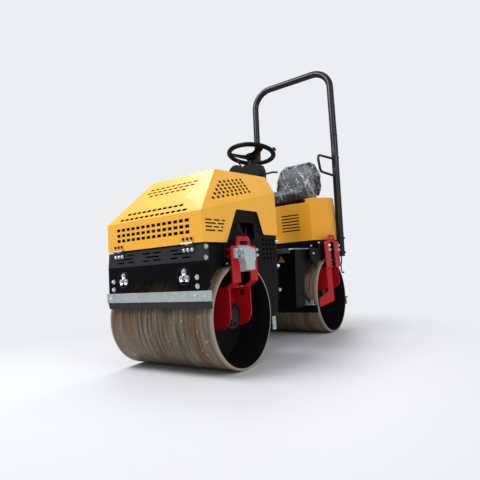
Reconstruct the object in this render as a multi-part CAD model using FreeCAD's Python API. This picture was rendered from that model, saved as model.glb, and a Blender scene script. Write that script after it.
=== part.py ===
# Ride-on tandem road roller: two steel drums, a front frame under a tilting
# hood, and a rear frame with seat, console and roll-over hoop.
# Millimetres. X forward, Y to the left, Z up, ground at z = 0.
# Everything is laid out from the steering pivot, midway between the axles,
# and the finished pieces are shifted so that the origin is below their middle.

import FreeCAD
import Part
import math
import os

V = FreeCAD.Vector
X_AXIS = V(1, 0, 0)
Y_AXIS = V(0, 1, 0)
Z_AXIS = V(0, 0, 1)

# Clearances
moving_gap = 6.0          # between pieces that move past each other
seat_gap = 0.3            # below a soft piece
bearing_gap = 0.05        # radial, shaft in bore

# Drums and axles
drum_radius = 280.0
drum_width = 754.0
shell_wall = 13.0
drum_bevel = 4.0
web_wall = 20.0
web_inset = 205.0         # drum end to the web's outer face
boss_radius = 62.0
boss_reach = 40.0         # boss beyond the web's outer face
wheelbase = 1216.0
axle_radius = 30.0
axle_z = drum_radius
front_axle_x = wheelbase / 2
rear_axle_x = -wheelbase / 2
drum_end = drum_width / 2

# Sheet and plate
hood_wall = 3.0
frame_plate = 8.0
thin_plate = 6.0

# Hood outline, measured back from its front face
nose_reach = 292.0        # front axle to the hood's front face
hood_length = 754.0
hood_half = drum_end - 18.0
hood_skirt_z = 673.0
nose_top_z = 834.0
slope_one_run = 66.0
slope_one_top_z = 927.5
slope_one_half = 206.0
slope_two_run = 277.0
roof_front_z = 1105.5
roof_front_half = 250.0
roof_rear_z = 1113.0
shoulder_rear_z = 1001.0
rear_skirt_z = 722.0
nose_x = front_axle_x + nose_reach
hood_rear_x = nose_x - hood_length
hood_inner_half = hood_half - hood_wall

# Hinge of the hood, at its front lower edge
hinge_radius = 6.0
hinge_width = 76.0
hinge_offset = 262.0
hinge_leaf = 3.0
hinge_leaf_height = 40.0
hinge_x = nose_x + hinge_radius
hinge_z = hood_skirt_z - 2.0

# Front bumper
bumper_wall = 4.0
bumper_top_z = 665.0
bumper_fold_z = 580.0
bumper_low_z = 424.0
bumper_top_back = 8.0     # the tilted band's top edge stands back by this
bumper_face_x = nose_x + 3.0
bumper_notch_z = 495.0
bumper_return = 46.0
lamp_radius = 46.0
lamp_offset = 228.0
lamp_z = 510.0
lamp_depth = 34.0

# Front frame
side_plate_half = hood_inner_half - moving_gap      # outer face of the black side plates
deck_z = 600.0
frame_low_z = 245.0
wheel_arch_radius = drum_radius + 30.0
bulkhead_inset = 8.0
bulkhead_x = hood_rear_x + moving_gap
engine_length = 370.0
engine_half = 190.0
engine_top_z = 985.0

# Steering hitch
pivot_radius = 22.0
hitch_z = 388.0
hitch_height = 82.0
yoke_plate = 16.0
yoke_half = 80.0
yoke_nose = 52.0
yoke_gap = 1.0

# Rear frame
box_front_top_x = -102.0
box_front_low_x = -62.0
box_low_z = 240.0
box_half = drum_end - 30.0
box_wall_x = -116.0
guard_radius = drum_radius + 135.0
platform_z = 632.0
platform_plate = 8.0
platform_front_x = -52.0
platform_half = drum_end - 30.0
upper_plate_half = drum_end
upper_plate_front_x = -277.0
upper_plate_rear_x = -798.0
upper_arch_radius = drum_radius + 44.0
upper_plate_low_z = 567.0
body_low_z = 706.0
plinth_inset = 14.0
body_front_x = -512.0
body_front_half = 300.0
body_corner_x = -699.0
body_heel_x = -785.0
tail_overhang = 297.0      # rear axle to the body's rear face
body_rear_x = rear_axle_x - tail_overhang
body_tail_half = drum_end - 32.0
body_centre_z = 1009.0
pod_front_z = 1040.0
pod_rear_z = 1063.0
pod_inner_half = 242.0
tail_plate = 8.0
tail_low_z = 440.0
tow_eye_plate = 16.0
tow_eye_bore = 18.0

# Roll-over hoop
hoop_tube = 30.0          # tube radius
hoop_half = body_tail_half + 49.0
hoop_foot = (body_rear_x + 70.0, 570.0)
hoop_knee = (body_rear_x - 28.0, 1550.0)
hoop_top = (body_rear_x - 72.0, 2248.0)
clamp_width = 65.0
hoop_bend = 170.0
knee_bend = 2000.0
handle_tube = 10.0
handle_reach_top = (-540.0, 1376.0)
handle_reach_low = (-572.0, 1245.0)
handle_root_high_z = 1403.0
handle_root_low_z = 1250.0
handle_bend = 38.0

# Operator's cushion and backrest
cushion_front_x = -600.0
cushion_rear_x = -905.0
cushion_half = 222.0
cushion_height = 114.0
rail_height = 36.0
# height above the cushion's underside, front face, rear face, half width
backrest_sections = (
    (60.0, 0.0, -62.0, 220.0),
    (150.0, -17.0, -80.0, 244.0),
    (275.0, -38.0, -94.0, 232.0),
    (370.0, -61.0, -101.0, 196.0),
    (422.0, -76.0, -102.0, 140.0),
)

# Console, steering column and wheel
console_front_x = -95.0
console_depth = 110.0
console_half = 176.0
console_left = 107.0
console_low_z = 1150.0
console_edge_z = 1228.0
console_casing_z = 1290.0
pod_radius = 66.0
pedestal_half = 92.0
wheel_centre = V(-188.0, 0.0, 1396.0)
wheel_radius = 188.0
wheel_rim = 17.0
wheel_tilt = 12.0
wheel_hub_drop = 34.0
column_radius = 19.0

# Scrapers
scraper_bar_height = 51.0
scraper_bar_wall = 6.0
scraper_bar_top_z = 436.0
scraper_bar_half = drum_end + 8.0
scraper_offset = 16.0     # bar and strip are bolted on a little to the left
blade_wall = 8.0
blade_drop = 36.0
beam_low_z = 177.0
beam_height = 59.0
beam_wall = 8.0
beam_drum_gap = 6.5
beam_flange = 40.0
strap_wall = 4.0

# Steering cylinder, seen from above: its two pins
cylinder_front_pin = (128.0, -95.0)
cylinder_rear_pin = (-155.0, -150.0)
cylinder_z = 300.0
barrel_radius = 24.0
barrel_back = 30.0        # pin to the barrel's closed end
barrel_front = 188.0      # pin to the barrel's open end
rod_radius = 12.0
rod_length = 178.0
eye_radius = 18.0
eye_height = 20.0
rod_eye_height = 28.0
eye_pin = 8.0
lug_plate = 6.0
lug_half = 22.0

# Drum supports: name, axle x, middle of the outer plate behind the axle, its half width,
# width of a leg, its outer face, height of the legs' bend, top of the lifting lug, face that it bolts to,
# radius of the mounting ring, the webs' outer edge, their lower edge and its corner radius
support_table = (
    ("front", front_axle_x, 6.0, 122.0, 72.0, drum_end + 24.0, 460.0, 702.0, side_plate_half,
     78.0, drum_end - 21.0, 214.0, 84.0),
    ("rear", rear_axle_x, 26.0, 140.0, 100.0, drum_end + 28.0, 494.0, 741.0, upper_plate_half,
     112.0, drum_end + 14.0, 318.0, 60.0),
)
support_plate = 8.0
lug_root = 68.0           # half width of the lifting lug at its root and at its crest
lug_crest = 54.0
lug_height = 51.0
lift_slot = 37.0
lift_slot_drop = 46.0
lift_slot_tall = 22.0
support_fold = 0.7        # drop of the inward fold for each millimetre inwards
support_web_inset = 20.0
arm_width = 64.0          # bar down the rear support's front web, and the foot that it ends in
arm_low_z = 236.0
foot_length = 186.0
foot_height = 58.0
arm_lean = 13.0           # degrees that bar and foot turn inwards
web_hole = 17.0
web_hole_y = 300.0
web_hole_drop = 34.0
mount_plate_y = drum_end - web_inset + 64.0
box_ahead = 4.0            # grey box ahead of the axle
box_low_edge = 512.0
cast_box_height = 140.0
cast_box_foot = 50.0
cast_box_half = 55.0
cast_box_depth = 42.0
motor_radius = 72.0
motor_length = 54.0


# Helpers

def box(x0, x1, y0, y1, z0, z1):
    return Part.makeBox(x1 - x0, y1 - y0, z1 - z0, V(x0, y0, z0))


def prism(points, plane, start, end):
    """A closed outline in plane 'xz', 'yz' or 'xy', pushed from start to end along the third axis."""
    place = {
        "xz": (lambda a, b: V(a, start, b), Y_AXIS),
        "yz": (lambda a, b: V(start, a, b), X_AXIS),
        "xy": (lambda a, b: V(a, b, start), Z_AXIS),
    }
    to_point, along = place[plane]
    corners = [to_point(a, b) for a, b in points]
    face = Part.Face(Part.makePolygon(corners + corners[:1]))
    return face.extrude(along * (end - start))


def cylinder(centre, along, radius, length):
    return Part.makeCylinder(radius, length, centre, along)


def tube(centre, along, outer, inner, length):
    return cylinder(centre, along, outer, length).cut(cylinder(centre, along, inner, length))


def fused(pieces):
    result = pieces[0].multiFuse(pieces[1:]) if len(pieces) > 1 else pieces[0]
    return result.removeSplitter()


def to_right(shape):
    """The same piece on the machine's right-hand side."""
    return shape.mirror(V(0, 0, 0), Y_AXIS)


def rounded(points, radii):
    """Corner points with some corners replaced by short arcs, as one closed wire in the XZ plane."""
    edges = []
    count = len(points)
    ends = []
    for i, (x, z) in enumerate(points):
        here = V(x, 0, z)
        before = V(points[i - 1][0], 0, points[i - 1][1])
        after = V(points[(i + 1) % count][0], 0, points[(i + 1) % count][1])
        radius = radii[i]
        if not radius:
            ends.append((here, here))
            continue
        back = (before - here).normalize()
        ahead = (after - here).normalize()
        half_angle = back.getAngle(ahead) / 2
        setback = radius / math.tan(half_angle)
        middle = (back + ahead).normalize()
        start = here + back * setback
        end = here + ahead * setback
        crown = here + middle * (radius / math.sin(half_angle) - radius)
        ends.append((start, end))
        edges.append(Part.Arc(start, crown, end).toShape())
    for i in range(count):
        leave = ends[i - 1][1]
        reach = ends[i][0]
        if leave.distanceToPoint(reach) > 0.01:
            edges.append(Part.LineSegment(leave, reach).toShape())
    return Part.Wire(Part.__sortEdges__(edges))


def rounded_plate(points, radii, y0, y1):
    face = Part.Face(rounded(points, radii))
    face.translate(V(0, y0, 0))
    return face.extrude(Y_AXIS * (y1 - y0))


def bent_sheet(line, wall):
    """Outline of a folded sheet: the line of its outer face, and that line moved to its right by the wall."""
    inner = []
    for i, (a, b) in enumerate(line):
        normals = []
        for start, end in (line[max(i - 1, 0):max(i - 1, 0) + 2], line[min(i, len(line) - 2):][:2]):
            run = math.hypot(end[0] - start[0], end[1] - start[1])
            normals.append(((end[1] - start[1]) / run, (start[0] - end[0]) / run))
        across = normals[0][0] + normals[1][0]
        up = normals[0][1] + normals[1][1]
        stretch = wall / (1 + normals[0][0] * normals[1][0] + normals[0][1] * normals[1][1])
        inner.append((a + across * stretch, b + up * stretch))
    return line + inner[::-1]


def cross_plate(points, radii, x0, x1):
    """A plate with rounded corners across the machine; its points are (y, z)."""
    face = Part.Face(rounded(points, radii))
    face.rotate(V(0, 0, 0), Z_AXIS, 90)
    face.translate(V(x0, 0, 0))
    return face.extrude(X_AXIS * (x1 - x0))


def oriented_box(centre, across, up, width, height, depth):
    """A box with its middle at centre, its width along 'across' and its height along 'up'."""
    out = across.cross(up)
    frame = FreeCAD.Matrix(
        across.x, up.x, out.x, centre.x,
        across.y, up.y, out.y, centre.y,
        across.z, up.z, out.z, centre.z,
        0, 0, 0, 1)
    shape = Part.makeBox(width, height, depth, V(-width / 2, -height / 2, -depth / 2))
    shape.Placement = FreeCAD.Placement(frame)
    return shape


def pipe_along(points, bends, radius):
    """A round bar along straight runs joined by tangent arcs."""
    edges = []
    last = points[0]
    for i in range(1, len(points) - 1):
        corner = points[i]
        back = (points[i - 1] - corner).normalize()
        ahead = (points[i + 1] - corner).normalize()
        half_angle = back.getAngle(ahead) / 2
        setback = bends[i - 1] / math.tan(half_angle)
        start = corner + back * setback
        end = corner + ahead * setback
        middle = (back + ahead).normalize()
        crown = corner + middle * (bends[i - 1] / math.sin(half_angle) - bends[i - 1])
        edges.append(Part.LineSegment(last, start).toShape())
        edges.append(Part.Arc(start, crown, end).toShape())
        last = end
    edges.append(Part.LineSegment(last, points[-1]).toShape())
    path = Part.Wire(edges)
    heading = (points[1] - points[0]).normalize()
    profile = Part.Wire(Part.Circle(points[0], heading, radius).toShape())
    return path.makePipeShell([profile], True, False)


# Hood: a folded sheet over a convex outline

def hood_corners():
    """Corner name to place, on the left side; the roof's rear corner lies in the side facet's plane."""
    nose = V(nose_x, hood_half, nose_top_z)
    slope = V(nose_x - slope_one_run, slope_one_half, slope_one_top_z)
    roof = V(nose_x - slope_two_run, roof_front_half, roof_front_z)
    shoulder = V(hood_rear_x, hood_half, shoulder_rear_z)
    across = (roof - nose).cross(shoulder - nose)
    fall = across.x * (hood_rear_x - nose_x) + across.z * (roof_rear_z - nose_top_z)
    rear = V(hood_rear_x, hood_half - fall / across.y, roof_rear_z)
    return {
        "nose_low": V(nose_x, hood_half, hood_skirt_z),
        "nose": nose,
        "slope": slope,
        "roof": roof,
        "rear": rear,
        "shoulder": shoulder,
        "rear_low": V(hood_rear_x, hood_half, hood_skirt_z),
    }


def right_of(point):
    return V(point.x, -point.y, point.z)


def pyramid(outline, apex):
    faces = [Part.Face(Part.makePolygon(outline + outline[:1]))]
    for i in range(len(outline)):
        faces.append(Part.Face(Part.makePolygon([outline[i - 1], outline[i], apex, outline[i - 1]])))
    return Part.Solid(Part.Shell(faces))


def hood_faces():
    c = hood_corners()
    r = {name: right_of(point) for name, point in c.items()}
    return {
        "front": [c["nose_low"], c["nose"], r["nose"], r["nose_low"]],
        "slope_one": [c["nose"], c["slope"], r["slope"], r["nose"]],
        "slope_two": [c["slope"], c["roof"], r["roof"], r["slope"]],
        "roof": [c["roof"], c["rear"], r["rear"], r["roof"]],
        "corner_left": [c["nose"], c["roof"], c["slope"]],
        "corner_right": [r["nose"], r["slope"], r["roof"]],
        "facet_left": [c["nose"], c["shoulder"], c["rear"], c["roof"]],
        "facet_right": [r["nose"], r["roof"], r["rear"], r["shoulder"]],
        "side_left": [c["nose_low"], c["rear_low"], c["shoulder"], c["nose"]],
        "side_right": [r["nose_low"], r["nose"], r["shoulder"], r["rear_low"]],
        "rear": [c["rear_low"], c["shoulder"], c["rear"], r["rear"], r["shoulder"], r["rear_low"]],
        "bottom": [c["nose_low"], r["nose_low"], r["rear_low"], c["rear_low"]],
    }


def outward(outline, inside):
    normal = (outline[1] - outline[0]).cross(outline[2] - outline[0]).normalize()
    if normal.dot(outline[0] - inside) < 0:
        normal = normal * -1
    return normal


hood_inside = V((nose_x + hood_rear_x) / 2, 0, hood_skirt_z)
skin_names = [name for name in hood_faces() if name not in ("rear", "bottom")]


def hood_block(inset):
    """The hood's outline as a solid, with every skin face moved in by inset."""
    faces = hood_faces()
    sheets = [Part.Face(Part.makePolygon(outline + outline[:1])) for outline in faces.values()]
    block = Part.Solid(Part.Shell(sheets))
    if not inset:
        return block
    reach = hood_length * 2
    for name in skin_names:
        outline = faces[name]
        normal = outward(outline, hood_inside)
        across = (outline[1] - outline[0]).normalize()
        up = normal.cross(across)
        centre = outline[0] + normal * (reach / 2 - inset)
        block = block.cut(oriented_box(centre, across, up, reach * 2, reach * 2, reach))
    return block


def slot_row(corner, across, up, width, height, positions, up_position):
    """Slots in one row on a flat face; positions run along 'across' from corner."""
    depth = hood_wall * 6
    return [oriented_box(corner + across * s + up * up_position, across, up, width, height, depth)
            for s in positions]


def spread(count, pitch):
    return [(i - (count - 1) / 2) * pitch for i in range(round(count))]


# Slot rows of the hood's nose: face, slots in the row, pitch, height up the face, slot width, slot height
nose_slot_rows = (
    ("front", 14, 40.3, 59.0, 29.0, 17.0),
    ("front", 14, 40.3, 89.0, 29.0, 17.0),
    ("front", 14, 40.3, 120.0, 29.0, 17.0),
    ("slope_one", 13, 40.0, 20.0, 31.0, 16.0),
    ("slope_one", 11, 40.0, 58.0, 31.0, 16.0),
    ("slope_two", 7, 43.0, 96.0, 32.0, 17.0),
    ("slope_two", 9, 43.0, 134.0, 32.0, 17.0),
    ("slope_two", 9, 43.0, 171.0, 32.0, 17.0),
)

# Holes of the side facet: back from the nose and up the facet, for each row's first and last hole
facet_rows = (
    # count, first hole x and z, last hole x and z
    (6, 636.0, 1021.0, 432.0, 1060.0),
    (7, 667.0, 994.0, 427.0, 1041.0),
    (8, 699.0, 966.0, 421.0, 1021.0),
    (9, 731.0, 939.0, 416.0, 1002.0),
    (9, 762.0, 911.0, 410.0, 982.0),
)
facet_hole = (22.0, 17.0)

# Louvres behind the nose corner: height above the skirt, then first and last x of each dash back from the nose
side_louvres = (
    (115.0, ((29.0, 83.0), (101.0, 152.0), (167.0, 199.0))),
    (97.0, ((29.0, 116.0), (131.0, 189.0))),
    (79.0, ((29.0, 84.0), (98.0, 142.0), (158.0, 181.0))),
    (60.0, ((29.0, 109.0), (127.0, 174.0))),
)
louvre_height = 8.0


def nose_slots():
    faces = hood_faces()
    lows = {"front": "nose_low", "slope_one": "nose", "slope_two": "slope"}
    highs = {"front": "nose", "slope_one": "slope", "slope_two": "roof"}
    corners = hood_corners()
    tools = []
    for face, count, pitch, height, width, tall in nose_slot_rows:
        low = corners[lows[face]]
        high = corners[highs[face]]
        middle = V(low.x, 0, low.z)
        up = (V(high.x, 0, high.z) - middle).normalize()
        tools += slot_row(middle, Y_AXIS, up, width, tall, spread(count, pitch), height)
    return tools


def facet_holes():
    corners = hood_corners()
    nose = corners["nose"]
    normal = outward(hood_faces()["facet_left"], hood_inside)
    across = (corners["shoulder"] - nose).normalize()
    up = normal.cross(across)
    tools = []
    for count, x0, z0, x1, z1 in facet_rows:
        for i in range(round(count)):
            share = i / (count - 1)
            x = nose_x - (900.0 - (x0 + (x1 - x0) * share))
            z = z0 + (z1 - z0) * share
            y = nose.y - (normal.x * (x - nose.x) + normal.z * (z - nose.z)) / normal.y
            tools.append(oriented_box(V(x, y, z), across, up, facet_hole[0], facet_hole[1], hood_wall * 6))
    return tools


def side_slots():
    tools = []
    for height, dashes in side_louvres:
        for start, end in dashes:
            middle = nose_x - (start + end) / 2
            centre = V(middle, hood_half, hood_skirt_z + height)
            tools.append(oriented_box(centre, X_AXIS, Z_AXIS, end - start, louvre_height, hood_wall * 6))
    return tools


def arch_tool():
    """The cut-out above the drum support, with the raised skirt behind it."""
    below = hood_skirt_z - 40.0
    points = [
        (front_axle_x + 90.0, hood_skirt_z + 2.0),
        (front_axle_x - 16.0, hood_skirt_z + 186.0),
        (front_axle_x - 236.0, hood_skirt_z + 186.0),
        (front_axle_x - 292.0, rear_skirt_z),
        (hood_rear_x - 30.0, rear_skirt_z),
        (hood_rear_x - 30.0, below),
        (front_axle_x + 91.0, below),
    ]
    radii = [10.0, 22.0, 22.0, 22.0, 0, 0, 0]
    reach = hood_half + 20.0
    return rounded_plate(points, radii, -reach, reach)


def make_hood():
    skin = hood_block(0).cut(hood_block(hood_wall))
    faces = hood_faces()
    groups = {
        "hood_front_panel": ("front", "slope_one", "slope_two", "corner_left", "corner_right"),
        "hood_roof_panel": ("roof",),
        "hood_left_panel": ("side_left", "facet_left"),
    }
    panels = {}
    for node, names in groups.items():
        reach = fused([pyramid(faces[name], hood_inside) for name in names])
        panels[node] = skin.common(reach)
    panels["hood_front_panel"] = panels["hood_front_panel"].cut(nose_slots())
    left = panels["hood_left_panel"].cut([arch_tool()] + facet_holes() + side_slots())
    panels["hood_left_panel"] = left
    panels["hood_right_panel"] = to_right(left)
    return panels


def band_x(z):
    """X of the bumper's tilted front face at height z."""
    return bumper_face_x - bumper_top_back * (z - bumper_fold_z) / (bumper_top_z - bumper_fold_z)


def make_hood_hinges():
    """Upper leaves and middle knuckles ride on the hood, lower leaves and outer knuckles on the bumper."""
    upper = []
    lower = []
    third = hinge_width / 3
    for side in (-1, 1):
        middle = side * hinge_offset
        y0 = middle - hinge_width / 2
        y1 = middle + hinge_width / 2
        leaf = box(nose_x + seat_gap, nose_x + seat_gap + hinge_leaf, y0, y1, hinge_z + hinge_radius + 1,
                   hinge_z + hinge_leaf_height)
        neck = box(nose_x + seat_gap, hinge_x, middle - third / 2 + 0.5, middle + third / 2 - 0.5, hinge_z,
                   hinge_z + hinge_radius + 1)
        knuckle = cylinder(V(hinge_x, middle - third / 2 + 0.5, hinge_z), Y_AXIS, hinge_radius, third - 1)
        upper.append(fused([leaf, neck, knuckle]))
        ends = [cylinder(V(hinge_x, middle + offset, hinge_z), Y_AXIS, hinge_radius, third - 1)
                for offset in (-hinge_width / 2 + 0.5, third / 2 + 0.5)]
        low = bumper_top_z - hinge_leaf_height
        high = bumper_top_z - 3.0
        strap = prism([(band_x(low) + seat_gap, low), (band_x(low) + seat_gap + hinge_leaf, low),
                       (band_x(high) + seat_gap + hinge_leaf, high - 6.0), (hinge_x + 4.0, hinge_z - 2.0),
                       (hinge_x - 4.0, hinge_z - 2.0), (band_x(high) + seat_gap, high)], "xz", y0, y1)
        swing = cylinder(V(hinge_x, middle - third / 2 - 0.5, hinge_z), Y_AXIS, hinge_radius + 1.5, third + 1)
        lower.append(fused([strap] + ends).cut(swing))
    return Part.makeCompound(upper), Part.makeCompound(lower)


def pair(left):
    """A left-hand piece and its mirror image as one node of two solids."""
    return Part.makeCompound([left, to_right(left)])


# Front frame

def make_bumper():
    top_x = bumper_face_x - bumper_top_back
    face = [
        (top_x, bumper_top_z),
        (bumper_face_x, bumper_fold_z),
        (bumper_face_x, bumper_low_z),
        (bumper_face_x - bumper_wall, bumper_low_z),
        (bumper_face_x - bumper_wall, bumper_fold_z),
        (top_x - bumper_wall, bumper_top_z),
    ]
    sheet = prism(face, "xz", -hood_half, hood_half)
    rear_x = bumper_face_x - bumper_return
    cheek = [
        (top_x, bumper_top_z),
        (bumper_face_x, bumper_fold_z),
        (bumper_face_x, bumper_low_z),
        (rear_x, bumper_low_z + 33.0),
        (rear_x, bumper_top_z),
    ]
    cheek_left = prism(cheek, "xz", side_plate_half, hood_half)
    notch = prism([(-200.0, bumper_low_z - 1), (200.0, bumper_low_z - 1), (105.0, bumper_notch_z),
                   (-105.0, bumper_notch_z)],
                  "yz", bumper_face_x - 60, bumper_face_x + 5)
    tools = [notch]
    for side in (-1, 1):
        tools.append(cylinder(V(bumper_face_x - 20, side * lamp_offset, lamp_z), X_AXIS,
                              lamp_radius + 0.5, 40))
    # dash slots of the tilted band: sideways place, height, length
    dashes = ((-46.0, 645.0, 58.0), (36.0, 645.0, 58.0), (0.0, 625.0, 104.0), (-46.0, 605.0, 52.0),
              (40.0, 605.0, 56.0))
    for group in (-205.0, 0.0, 205.0):
        for across, height, length in dashes:
            tools.append(box(bumper_face_x - 30, bumper_face_x + 5, group + across - length / 2,
                             group + across + length / 2, height - 4, height + 4))
    return fused([sheet, cheek_left, to_right(cheek_left)]).cut(tools)


def make_lamp(side):
    """Round bezel with three lens cups in a triangle."""
    centre = V(bumper_face_x - lamp_depth + 5.0, side * lamp_offset, lamp_z)
    body = cylinder(centre, X_AXIS, lamp_radius, lamp_depth)
    pocket = cylinder(centre + X_AXIS * (lamp_depth - 5.0), X_AXIS, lamp_radius - 5.0, 10.0)
    body = body.cut(pocket)
    lenses = []
    for i in range(3):
        angle = math.radians(90 + 120 * i)
        spot = centre + V(lamp_depth - 8.0, 21.0 * math.cos(angle), 21.0 * math.sin(angle))
        lenses.append(cylinder(spot, X_AXIS, 15.5, 6.0))
    return fused([body] + lenses)


def make_side_plate():
    """Left black side plate: fills the hood's cut-out and reaches down behind the drum."""
    rear_top_x = hood_rear_x + moving_gap
    points = [
        (bumper_face_x - 12.0, bumper_low_z + 33.0),
        (bumper_face_x - 18.0, bumper_top_z - 6.0),
        (front_axle_x + 110.0, bumper_top_z - 6.0),
        (front_axle_x, hood_skirt_z + 205.0),
        (front_axle_x - 252.0, hood_skirt_z + 205.0),
        (front_axle_x - 310.0, rear_skirt_z + 24.0),
        (rear_top_x, rear_skirt_z + 24.0),
        (rear_top_x, 540.0),
        (hood_rear_x + 54.0, frame_low_z),
        (front_axle_x - 268.0, frame_low_z - 8.0),
        (front_axle_x, axle_z),
        (front_axle_x + 268.0, bumper_low_z + 33.0),
    ]
    radii = [0, 0, 0, 0, 0, 0, 0, 0, 12.0, 0, 0, 0]
    y0 = side_plate_half - frame_plate
    plate = rounded_plate(points, radii, y0, side_plate_half)
    arch = cylinder(V(front_axle_x, y0 - 1, axle_z), Y_AXIS, wheel_arch_radius, frame_plate + 2)
    window = rounded_plate([(front_axle_x - 57.0, 694.0), (front_axle_x - 57.0, 788.0),
                            (front_axle_x - 196.0, 788.0), (front_axle_x - 196.0, 694.0)],
                           [14.0] * 4, y0 - 1, side_plate_half + 1)
    tools = [arch, window]
    for column in range(4):
        for row in range(5):
            x = front_axle_x - 292.0 - column * 41.0
            z = 690.0 - row * 27.5
            tools.append(box(x - 9.0, x + 9.0, y0 - 1, side_plate_half + 1, z - 7.5, z + 7.5))
    return plate.cut(tools)


def make_deck():
    """Engine bed between the side plates, with its cross bars."""
    half = side_plate_half - frame_plate
    front = bumper_face_x - 24.0
    sheet = box(bulkhead_x + thin_plate, front, -half, half, deck_z, deck_z + frame_plate)
    bars = [box(x, x + 40.0, -half, half, deck_z - 24.0, deck_z)
            for x in (front - 60.0, front_axle_x - 20.0, bulkhead_x + 60.0)]
    nose_bar = box(front, bumper_face_x - bumper_wall - bumper_top_back + 1.0, -60.0, 60.0, deck_z - 24.0,
                   deck_z + frame_plate)
    return fused([sheet] + bars + [nose_bar])


def make_bulkhead():
    """Rear wall of the front frame, inside the hood's open rear end, with the steering cylinder's lug."""
    x1 = bulkhead_x + thin_plate
    half = side_plate_half - frame_plate
    room = hood_block(hood_wall + bulkhead_inset)
    upper = room.common(box(bulkhead_x, x1, -half, half, hood_skirt_z, roof_rear_z))
    lower = prism([(-half, 330.0), (-half + 60.0, frame_low_z), (half - 60.0, frame_low_z), (half, 330.0),
                   (half, rear_skirt_z + 24.0), (-half, rear_skirt_z + 24.0)], "yz", bulkhead_x, x1)
    return fused([upper, lower, make_front_lug()])


def make_engine():
    centre = bulkhead_x + 90.0 + engine_length / 2
    base = deck_z + frame_plate
    block = box(centre - engine_length / 2, centre + engine_length / 2, -engine_half, engine_half,
                base, engine_top_z)
    return block.makeChamfer(30.0, [edge for edge in block.Edges
                                    if edge.CenterOfMass.z > engine_top_z - 1])


def make_yoke():
    """Two plates from the bulkhead that hold the vertical steering pin."""
    top = hitch_z + hitch_height / 2
    low = hitch_z - hitch_height / 2
    outline = [(bulkhead_x, -yoke_half - 20.0), (bulkhead_x, yoke_half + 20.0), (0.0, yoke_nose),
               (0.0, -yoke_nose)]
    plates = []
    for base in (top, low - yoke_plate):
        plate = prism(outline, "xy", base, base + yoke_plate)
        plates.append(plate)
        plates.append(cylinder(V(0, 0, base), Z_AXIS, yoke_nose, yoke_plate))
    pin_low = low - yoke_plate - 8.0
    plates.append(cylinder(V(0, 0, pin_low), Z_AXIS, pivot_radius, hitch_height + 2 * yoke_plate + 16.0))
    web = box(bulkhead_x - 40.0, bulkhead_x, -8.0, 8.0, low, top)
    return fused(plates + [web])


def make_trunnion():
    """Bearing block of the rear frame, between the yoke's plates."""
    low = hitch_z - hitch_height / 2 + yoke_gap
    tall = hitch_height - 2 * yoke_gap
    barrel = cylinder(V(0, 0, low), Z_AXIS, yoke_nose - 6.0, tall)
    arm = prism([(0.0, -yoke_nose + 14.0), (0.0, yoke_nose - 14.0), (box_wall_x + thin_plate, yoke_half),
                 (box_wall_x + thin_plate, -yoke_half)], "xy", low + 8.0, low + tall - 8.0)
    hole = cylinder(V(0, 0, low - 1), Z_AXIS, pivot_radius + bearing_gap, tall + 2)
    return fused([barrel, arm]).cut(hole)


# Drum with its two webs

def make_drum(axle_x):
    base = V(axle_x, -drum_end, axle_z)
    solid = cylinder(base, Y_AXIS, drum_radius, drum_width)
    solid = solid.makeChamfer(drum_bevel, [edge for edge in solid.Edges
                                           if isinstance(edge.Curve, Part.Circle)])
    drum = solid.cut(cylinder(base - Y_AXIS, Y_AXIS, drum_radius - shell_wall, drum_width + 2))
    webs = []
    for side in (-1, 1):
        outer = side * (drum_end - web_inset)
        webs.append(cylinder(V(axle_x, outer, axle_z), Y_AXIS * -side, drum_radius - shell_wall + 1, web_wall))
        webs.append(cylinder(V(axle_x, outer - side * web_wall, axle_z), Y_AXIS * side, boss_radius,
                             web_wall + boss_reach))
    drum = fused([drum] + webs)
    bore = cylinder(base, Y_AXIS, axle_radius + bearing_gap, drum_width)
    return drum.cut(bore)


# Drum supports, hubs and junction boxes

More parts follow.
